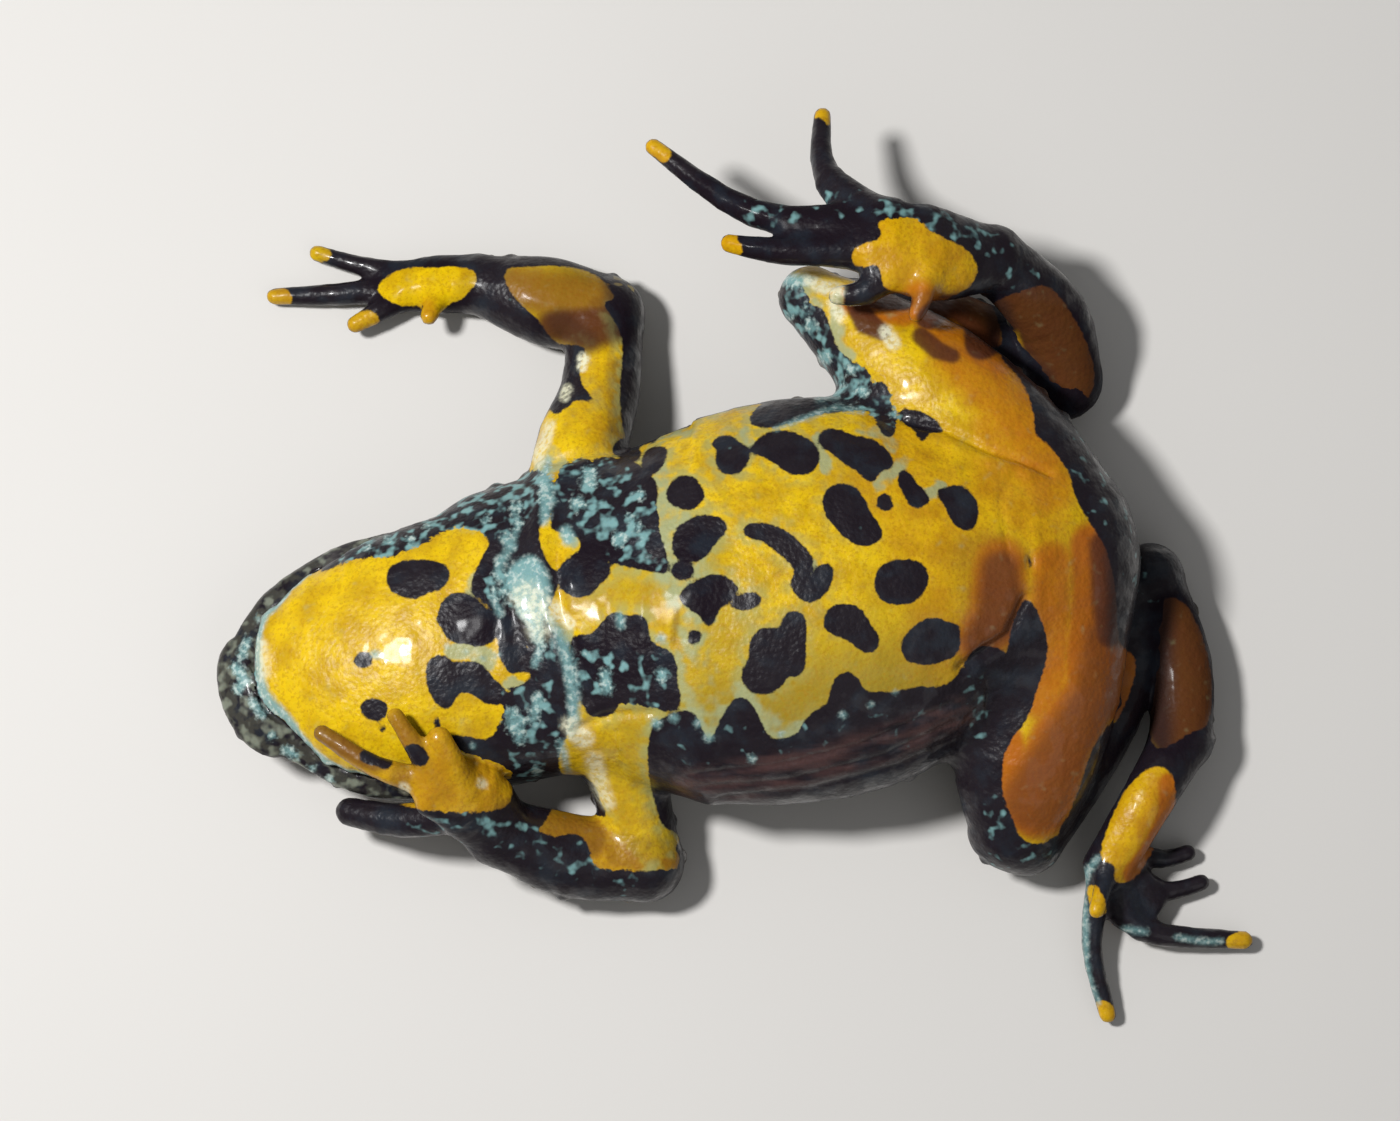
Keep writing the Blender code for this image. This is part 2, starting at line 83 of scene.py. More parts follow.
jaw = {
    "samples": 15,
    "reach": 0.8,
    "blend": 0.14,  # at the lips
    "throatBlend": 0.9,  # added to it at the neck
    "throat": (-10.5, -6.5),  # where that sets in and is full
    "stations": (
        (-4.8, -1.75, 3.40, 8.0, 4.3), (-7.0, -2.15, 3.35, 7.8, 4.1),
        (-9.2, -2.75, 3.30, 7.75, 3.9), (-11.2, -2.98, 3.12, 6.95, 3.3),
        (-12.75, -3.0, 2.97, 5.3, 2.5), (-13.65, -3.05, 2.87, 3.6, 1.8),
    ),
}
mouth = {
    "rise": 0.34,  # share of the skull's half depth
    "samples": 11,
    "frontPoints": 11,
    "lipRadius": 0.24,
    "lipBlend": 0.16,
    "seamRadius": 0.11,
    "seamBlend": 0.06,
    "seamSteps": 24,
    "seamSweep": (0.3, -1.5, 60),  # angles round the jaw that are tried, in radians, and how many
    "seamTouch": 0.02,  # how near the skull the jaw's skin has to be
    "seamTurns": 4,  # of smoothing
}
eye = {
    "lean": np.array((-0.976, -0.215, 0.0)),  # the way the head points
    "midpoint": (-11.0, -3.05, 1.42),
    "offset": 2.42,
    "look": (0.12, 0.80, -0.58),  # ahead, aside and up
    "radius": 1.1,
    "play": 0.03,  # by which the ball is smaller than its solid
    "socket": 1.16,
    "socketBlend": 0.04,
    "orbitRadius": 1.62,
    "orbitBack": 0.45,
    "orbitBlend": 0.6,
    "shell": 1.38,
    "shellBlend": 0.25,
    "openWide": 0.90,
    "openHigh": 0.68,
    "openFrom": 0.25,  # how far in front of the middle the lids part
    "openBlend": 0.10,
    "openMargin": 0.8,
    "smooth": (1.5, 1.9),  # distances between which the grain of the skin sets in
}
nostril = {
    "midpoint": (-14.45, -3.95, 1.55),
    "offset": 0.8,
    "radius": 0.15,
    "sink": 0.06,
    "blend": 0.06,
    "rim": 0.26,
    "rimBlend": 0.3,
}
limbs = {
    "leftUpperArm": ((-4.75, 1.5, 3.3, 3.3, 3.0), (-4.65, 3.6, 2.7, 2.8, 2.6),
                     (-4.1, 5.6, 1.8, 2.4, 2.2), (-4.0, 8.0, 1.2, 2.3, 2.3)),
    "leftForearm": ((-4.0, 8.0, 1.2, 2.3, 2.3), (-5.8, 8.45, 1.15, 2.7, 2.3),
                    (-7.9, 9.05, 0.85, 1.7, 1.5)),
    "leftHand": ((-7.9, 9.05, 0.85, 1.7, 1.5), (-9.2, 9.05, 0.75, 1.8, 1.3),
                 (-10.1, 9.0, 0.65, 1.4, 1.0)),
    "rightUpperArm": ((-4.4, -2.6, 3.5, 3.6, 3.2), (-3.9, -4.6, 2.9, 3.0, 2.7),
                      (-3.2, -6.6, 2.0, 2.3, 2.3), (-2.75, -8.8, 1.25, 2.2, 2.4)),
    "rightForearm": ((-2.75, -8.8, 1.25, 2.2, 2.4), (-4.9, -8.65, 1.6, 2.5, 2.2),
                     (-7.1, -8.05, 2.5, 2.0, 1.7)),
    "rightHand": ((-7.1, -8.05, 2.5, 2.0, 1.7), (-7.9, -7.25, 3.7, 2.4, 1.4),
                  (-9.0, -6.85, 4.3, 2.0, 1.1)),
    "leftThigh": ((9.6, 0.9, 3.4, 4.4, 4.2), (7.7, 3.3, 3.6, 4.7, 4.0),
                  (5.3, 5.65, 3.6, 4.1, 3.6), (2.25, 8.12, 3.1, 1.95, 2.1)),
    "leftShank": ((2.9, 8.0, 2.3, 1.9, 2.1), (6.3, 7.15, 1.4, 3.1, 2.6),
                  (9.95, 5.95, 1.15, 2.3, 2.1)),
    "leftTarsus": ((9.95, 5.95, 1.15, 2.3, 2.1), (9.5, 7.65, 2.6, 2.3, 1.9),
                   (7.7, 9.1, 4.3, 1.9, 1.6)),
    "leftFoot": ((7.7, 9.1, 4.3, 1.9, 1.6), (5.9, 8.95, 5.6, 2.9, 1.3),
                 (4.2, 9.25, 5.95, 2.5, 1.0)),
    "rightThigh": ((10.0, -0.4, 3.3, 3.8, 3.8), (9.2, -3.4, 3.25, 4.7, 3.7),
                   (8.55, -6.2, 2.7, 4.2, 3.1), (8.3, -7.95, 2.0, 2.8, 2.4)),
    "rightShank": ((8.7, -8.1, 1.5, 2.2, 2.2), (10.9, -4.2, 1.35, 2.6, 2.6),
                   (12.5, -0.1, 1.2, 1.9, 2.1)),
    "rightTarsus": ((12.5, -0.1, 1.2, 1.9, 2.1), (13.35, -2.8, 1.25, 2.0, 1.8),
                    (13.4, -5.1, 1.35, 1.8, 1.6)),
    "rightFoot": ((13.4, -5.1, 1.35, 1.8, 1.6), (12.3, -7.0, 1.9, 1.6, 1.4),
                  (11.1, -9.0, 1.35, 1.5, 1.1)),
}
limbSamples = 9
limbChains = (  # root, bends and tip, and how softly the root runs into the body
    ("UpperArm", ("Forearm",), "Hand", 0.45),
    ("Thigh", ("Shank", "Tarsus"), "Foot", 0.9),
)
# Digits: root, middle and tip, then the widths there. Their tips are gold but for the dark ones.
digits = {
    "samples": 9,
    "tipReach": 0.35,  # how far the gold reaches round a tip
    "darkTips": (("rightHand", 3), ("rightFoot", 3), ("rightFoot", 4)),
    "leftHand": (
        ((-8.9, 8.9, 0.9), (-9.15, 8.4, 1.2), (-9.35, 7.9, 1.5), (0.75, 0.66, 0.52)),
        ((-9.8, 8.9, 0.7), (-10.8, 8.25, 0.8), (-11.6, 7.8, 0.8), (0.80, 0.68, 0.54)),
        ((-9.7, 9.0, 0.65), (-12.2, 8.8, 0.5), (-14.1, 8.75, 0.4), (0.85, 0.68, 0.50)),
        ((-9.6, 9.3, 0.65), (-11.5, 9.7, 0.5), (-12.8, 10.1, 0.4), (0.80, 0.58, 0.50)),
    ),
    "rightHand": (
        ((-8.2, -6.9, 4.2), (-8.5, -6.25, 4.9), (-8.8, -5.65, 5.3), (1.00, 0.85, 0.72)),
        ((-8.9, -6.8, 4.5), (-9.5, -5.9, 5.2), (-10.1, -5.0, 5.45), (0.80, 0.64, 0.50)),
        ((-8.9, -6.9, 4.3), (-10.7, -6.4, 4.7), (-12.3, -5.4, 4.7), (0.90, 0.66, 0.50)),
        ((-8.3, -7.6, 3.2), (-10.0, -7.7, 2.5), (-11.6, -7.35, 1.9), (1.15, 1.02, 0.85)),
    ),
    "leftFoot": (
        ((5.7, 8.4, 5.9), (5.55, 7.6, 6.15), (5.35, 7.0, 6.1), (0.80, 0.66, 0.50)),
        ((4.9, 8.6, 5.9), (3.9, 7.75, 5.9), (3.0, 7.6, 5.85), (0.95, 0.80, 0.56)),
        ((4.6, 9.1, 5.9), (1.6, 9.0, 5.65), (-0.2, 9.3, 5.4), (1.05, 0.84, 0.56)),
        ((4.6, 9.5, 5.85), (0.5, 10.3, 5.1), (-2.5, 12.5, 4.4), (1.30, 0.84, 0.50)),
        ((4.4, 9.9, 5.8), (2.7, 11.6, 4.7), (2.6, 13.6, 3.8), (1.20, 0.80, 0.50)),
    ),
    "rightFoot": (
        ((11.2, -8.8, 1.5), (10.95, -9.7, 1.9), (10.75, -10.35, 2.1), (0.62, 0.56, 0.50)),
        ((11.0, -8.9, 1.2), (10.66, -11.2, 0.8), (11.15, -13.3, 0.42), (0.85, 0.62, 0.50)),
        ((11.3, -9.2, 1.05), (12.15, -10.75, 0.75), (15.25, -11.05, 0.44), (0.95, 0.74, 0.56)),
        ((11.4, -8.8, 1.0), (12.8, -9.55, 0.55), (14.0, -9.3, 0.42), (0.85, 0.60, 0.50)),
        ((11.7, -8.4, 1.0), (12.8, -8.6, 0.55), (13.6, -8.4, 0.42), (0.75, 0.56, 0.50)),
    ),
}
# Skin between the roots of neighbouring toes.
webs = {
    "leftFoot": (
        ((4.6, 9.35, 5.85, 2.4, 0.7), (3.0, 9.55, 5.65, 1.9, 0.5), (1.4, 9.7, 5.45, 1.0, 0.4)),
        ((4.0, 9.9, 5.65, 1.3, 0.7), (3.2, 10.7, 5.2, 1.0, 0.5), (2.7, 11.3, 4.9, 0.7, 0.4)),
    ),
    "rightFoot": (
        ((11.3, -8.9, 1.15, 1.3, 0.6), (12.0, -9.6, 0.85, 1.2, 0.5), (12.6, -10.1, 0.7, 0.8, 0.4)),
        ((11.15, -9.2, 1.05, 1.0, 0.6), (11.35, -9.9, 0.85, 0.9, 0.5), (11.5, -10.4, 0.75, 0.5, 0.4)),
    ),
}
growth = {
    "step": 0.1,  # spacing of the points at which the flesh is sampled
    "low": (-16.6, -14.9, -0.4),
    "high": (16.7, 15.2, 8.3),
    "margin": 1.4,  # round a length, within which it is sampled
    "tubeMargin": 0.6,
    "digitMargin": 0.8,
    "far": 4.0,  # what the grid holds before anything is grown
    "beyond": 9.0,  # more than any distance that counts
    "bendBlend": 0.35,  # elbows, knees, wrists and ankles
    "digitBlend": 0.3,
    "touchBlend": 0.06,  # where a foot or hand only lies against the body
    "floorBlend": 0.2,
}


def smoothPath(stations, count):
    last = len(stations) - 1
    rows = np.array(stations, dtype=float)
    path = []
    for sample in range(count):
        place = sample * last / (count - 1)
        index = min(int(place), last - 1)
        t = place - index
        a = rows[max(index - 1, 0)]
        b = rows[index]
        c = rows[index + 1]
        d = rows[min(index + 2, last)]
        path.append(b + 0.5 * t * (c - a + t * (2 * a - 5 * b + 4 * c - d + t * (3 * (b - c) + d - a))))
    return np.array(path)


def unit(vector):
    return np.asarray(vector, dtype=float) / np.linalg.norm(vector)


def headings(path):
    return np.vstack([path[1:, :3], path[-1:, :3]]) - np.vstack([path[:1, :3], path[:-1, :3]])


def softStep(value, low, high):
    t = np.clip((value - low) / (high - low), 0, 1)
    return t * t * (3 - 2 * t)


gridLow = np.array(growth["low"])
gridCounts = np.ceil((np.array(growth["high"]) - gridLow) / growth["step"]).astype(int)
gridAxes = [gridLow[axis] + growth["step"] * np.arange(gridCounts[axis]) for axis in range(3)]
gridAxes = [axis.astype(np.float32) for axis in gridAxes]


# The points of the grid within a box, as slices and as their three rows of places.
def blockAround(low, high):
    cuts = []
    for axis in range(3):
        first = int(math.floor((low[axis] - gridLow[axis]) / growth["step"]))
        final = int(math.ceil((high[axis] - gridLow[axis]) / growth["step"])) + 1
        cuts.append(slice(max(first, 0), min(final, int(gridCounts[axis]))))
    x = gridAxes[0][cuts[0]][:, None, None]
    y = gridAxes[1][cuts[1]][None, :, None]
    z = gridAxes[2][cuts[2]][None, None, :]
    return tuple(cuts), x, y, z


def dotWith(direction, x, y, z):
    return x * np.float32(direction[0]) + y * np.float32(direction[1]) + z * np.float32(direction[2])


# How far each point of a block lies from a chain of oval sections, less than 0 inside.
# Each point follows the length whose middle line is nearest, so the sections run smooth.
def chainField(stations, count, reach=None, margin=growth["margin"]):
    path = smoothPath(stations, count)
    half = path[:, 3:].max() / 2 + margin
    cuts, x, y, z = blockAround(path[:, :3].min(0) - half, path[:, :3].max(0) + half)
    field = nearestAxis = None
    final = len(path) - 2
    for index, (start, end) in enumerate(zip(path, path[1:])):
        length = np.linalg.norm(end[:3] - start[:3])
        ahead = (end[:3] - start[:3]) / length
        across = unit(np.cross(up, ahead))
        rise = np.cross(ahead, across)
        far = dotWith(ahead, x, y, z) - np.float32(start[:3] @ ahead)
        t = np.clip(far / np.float32(length), 0, 1)
        past = far - t * np.float32(length)
        side = dotWith(across, x, y, z) - np.float32(start[:3] @ across)
        lift = dotWith(rise, x, y, z) - np.float32(start[:3] @ rise)
        halfWide = np.float32(start[3] / 2) + t * np.float32((end[3] - start[3]) / 2)
        halfDeep = np.float32(start[4] / 2) + t * np.float32((end[4] - start[4]) / 2)
        halfLong = np.minimum(halfWide, halfDeep)
        if reach is not None and index == final:
            halfLong = np.where(past > 0, np.float32(reach), halfLong)
        domed = np.zeros(t.shape, dtype=bool)
        if index == 0:
            domed |= past < 0
        if index == final:
            domed |= past > 0
        a = np.where(domed, side, np.sqrt(side * side + past * past)) / halfWide
        b = lift / halfDeep
        c = np.where(domed, past, 0) / halfLong
        near = np.sqrt(a * a + b * b + c * c)
        steep = np.sqrt((a / halfWide) ** 2 + (b / halfDeep) ** 2 + (c / halfLong) ** 2) + 1e-6
        distance = (near * (near - 1) / steep).astype(np.float32)
        axis = side * side + lift * lift + past * past
        if field is None:
            field, nearestAxis = distance, axis
        else:
            field = np.where(axis < nearestAxis, distance, field)
            nearestAxis = np.minimum(axis, nearestAxis)
    return cuts, field


def ballField(place, radius):
    reach = radius + growth["margin"]
    cuts, x, y, z = blockAround(np.array(place) - reach, np.array(place) + reach)
    distance = np.sqrt((x - place[0]) ** 2 + (y - place[1]) ** 2 + (z - place[2]) ** 2) - radius
    return cuts, distance.astype(np.float32)


def tubeField(points, radius):
    stations = [(*point, 2 * radius, 2 * radius) for point in points]
    return chainField(stations, len(stations), margin=growth["tubeMargin"])


def blendMin(a, b, blend):
    share = np.clip(0.5 + 0.5 * (b - a) / blend, 0, 1)
    return b + (a - b) * share - blend * share * (1 - share)


def join(flesh, piece, blend):
    cuts, field = piece
    flesh[cuts] = blendMin(flesh[cuts], field, blend)


def carve(flesh, piece, blend):
    cuts, field = piece
    flesh[cuts] = -blendMin(-flesh[cuts], field, blend)


# The edge of the upper lip, right corner to left corner.
def lipPoints():
    path = smoothPath(skull["stations"][1:], mouth["samples"])
    spread = math.sqrt(1 - mouth["rise"] ** 2)
    rightRow, leftRow, front = [], [], []
    for row, toward in zip(path, headings(path)):
        middle = row[:3] + up * (row[4] / 2 * mouth["rise"])
        across = unit(np.cross(up, toward)) * (row[3] / 2 * spread)
        rightRow.append(middle + across)
        leftRow.append(middle - across)
    for index in range(1, mouth["frontPoints"] + 1):
        angle = math.pi * index / (mouth["frontPoints"] + 1)
        reach = unit(toward) * (skull["reach"] * spread * math.sin(angle))
        front.append(middle + reach + across * math.cos(angle))
    return np.array(rightRow + front + leftRow[::-1])


# The line along which the jaw's skin meets the skull's, right corner to left corner.
def seamPoints(skullPiece):
    cuts, field = skullPiece
    first = np.array([cut.start for cut in cuts])
    last = np.array(field.shape) - 1
    angles = np.linspace(*mouth["seamSweep"])

    def sink(middle, outward, deep):
        ring = middle + np.cos(angles)[:, None] * outward + np.sin(angles)[:, None] * deep
        cells = np.rint((ring - gridLow) / growth["step"]).astype(int) - first
        cells = np.clip(cells, 0, last)
        depth = field[cells[:, 0], cells[:, 1], cells[:, 2]]
        return ring[np.argmax(depth < mouth["seamTouch"])]

    path = smoothPath(jaw["stations"][1:], mouth["seamSteps"])
    rightRow, leftRow, front = [], [], []
    for row, toward in zip(path, headings(path)):
        across = unit(np.cross(up, toward)) * row[3] / 2
        deep = unit(np.cross(toward, across)) * row[4] / 2
        rightRow.append(sink(row[:3], across, deep))
        leftRow.append(sink(row[:3], -across, deep))
    for index in range(1, mouth["seamSteps"]):
        turn = math.pi * index / mouth["seamSteps"]
        ahead = unit(toward) * (jaw["reach"] * math.sin(turn))
        front.append(sink(row[:3], across * math.cos(turn) + ahead, deep))
    line = np.array(rightRow + front + leftRow[::-1])
    for turn in range(mouth["seamTurns"]):
        line[1:-1] = 0.5 * line[1:-1] + 0.25 * (line[:-2] + line[2:])
    return line


def besideHead(midpoint, offset, side):
    return np.array(midpoint) - unit(np.cross(up, eye["lean"])) * (side * offset)


def eyeFrame(side):
    across = unit(np.cross(up, eye["lean"]))
    ahead, aside, rise = eye["look"]
    look = unit(eye["lean"] * ahead - across * (side * aside) + up * rise)
    forward = unit(eye["lean"] - look * (eye["lean"] @ look))
    return besideHead(eye["midpoint"], eye["offset"], side), look, forward, np.cross(look, forward)


owners = ["trunk", "skull", "jaw"] + list(limbs)
nearest = np.full(gridCounts, growth["beyond"], dtype=np.float32)
owner = np.zeros(gridCounts, dtype=np.int8)


# Notes for every point of the grid which part of the body it belongs to.
def claim(piece, name):
    cuts, field = piece
    closer = field < nearest[cuts]
    nearest[cuts] = np.where(closer, field, nearest[cuts])
    owner[cuts] = np.where(closer, owners.index(name), owner[cuts])


def digitStations(root, middle, tip, widths):
    return [(*place, width, width) for place, width in zip((root, middle, tip), widths)]


def growFlesh():
    flesh = np.full(gridCounts, growth["far"], dtype=np.float32)
    for name, part in (("trunk", trunk), ("skull", skull)):
        piece = chainField(part["stations"], part["samples"], part["reach"])
        join(flesh, piece, part["blend"])
        claim(piece, name)
    seam = seamPoints(piece)
    for side in (1, -1):
        place, look, forward, rise = eyeFrame(side)
        join(flesh, ballField(place - look * eye["orbitBack"], eye["orbitRadius"]), eye["orbitBlend"])
        join(flesh, ballField(place, eye["shell"]), eye["shellBlend"])
    lip = lipPoints() - up * mouth["lipRadius"]
    join(flesh, tubeField(lip, mouth["lipRadius"]), mouth["lipBlend"])
    piece = chainField(jaw["stations"], jaw["samples"], jaw["reach"])
    atNeck = softStep(gridAxes[0][piece[0][0]], *jaw["throat"])
    blend = jaw["blend"] + jaw["throatBlend"] * atNeck
    join(flesh, piece, blend[:, None, None].astype(np.float32))
    claim(piece, "jaw")
    carve(flesh, tubeField(seam, mouth["seamRadius"]), mouth["seamBlend"])
    for side in (1, -1):
        carveEye(flesh, *eyeFrame(side))
        hole = besideHead(nostril["midpoint"], nostril["offset"], side)
        join(flesh, ballField(hole, nostril["rim"]), nostril["rimBlend"])
        carve(flesh, ballField(hole - up * nostril["sink"], nostril["radius"]), nostril["blend"])
    for side in ("left", "right"):
        for root, bends, tip, blend in limbChains:
            growLimb(flesh, side, root, bends, tip, blend)
    cuts, x, y, z = blockAround(growth["low"], growth["high"])
    return -blendMin(-flesh, z + 0 * flesh, growth["floorBlend"]), seam


def carveEye(flesh, place, look, forward, rise):
    reach = eye["shell"] + eye["openMargin"]
    cuts, x, y, z = blockAround(place - reach, place + reach)
    x, y, z = x - np.float32(place[0]), y - np.float32(place[1]), z - np.float32(place[2])
    out = dotWith(look, x, y, z)
    wide = dotWith(forward, x, y, z) / eye["openWide"]
    high = dotWith(rise, x, y, z) / eye["openHigh"]
    opening = (np.sqrt(wide ** 2 + high ** 2) - 1) * min(eye["openWide"], eye["openHigh"])
    opening = np.maximum(opening, eye["openFrom"] - out).astype(np.float32)
    carve(flesh, (cuts, opening), eye["openBlend"])
    carve(flesh, ballField(place, eye["socket"]), eye["socketBlend"])


def growLimb(flesh, side, root, bends, tip, blend):
    first = chainField(limbs[side + root], limbSamples)
    join(flesh, first, blend)
    claim(first, side + root)
    outer = np.full(gridCounts, growth["far"], dtype=np.float32)
    for bend in bends + (tip,):
        piece = chainField(limbs[side + bend], limbSamples)
        join(outer, piece, growth["bendBlend"])
        claim(piece, side + bend)
        if bend in ("Forearm", "Shank"):
            join(flesh, piece, growth["bendBlend"])
    for digit in digits[side + tip]:
        piece = chainField(digitStations(*digit), digits["samples"], margin=growth["digitMargin"])
        join(outer, piece, growth["digitBlend"])
        claim(piece, side + tip)
    for rows in webs.get(side + tip, ()):
        web = chainField(rows, digits["samples"], margin=growth["digitMargin"])
        join(outer, web, growth["digitBlend"])
    np.copyto(flesh, blendMin(flesh, outer, growth["touchBlend"]))


print("flesh: growing the solid of the body")
flesh, seam = growFlesh()
grown = openvdb.FloatGrid()
grown.copyFromArray(flesh)
points, quads = grown.convertToQuads(isovalue=0.0)
cells = np.clip(np.rint(points).astype(int), 0, gridCounts - 1)
pointOwner = owner[cells[:, 0], cells[:, 1], cells[:, 2]]
points = points.astype(float) * growth["step"] + gridLow
print(f"flesh: {len(points)} points, {len(quads)} faces")

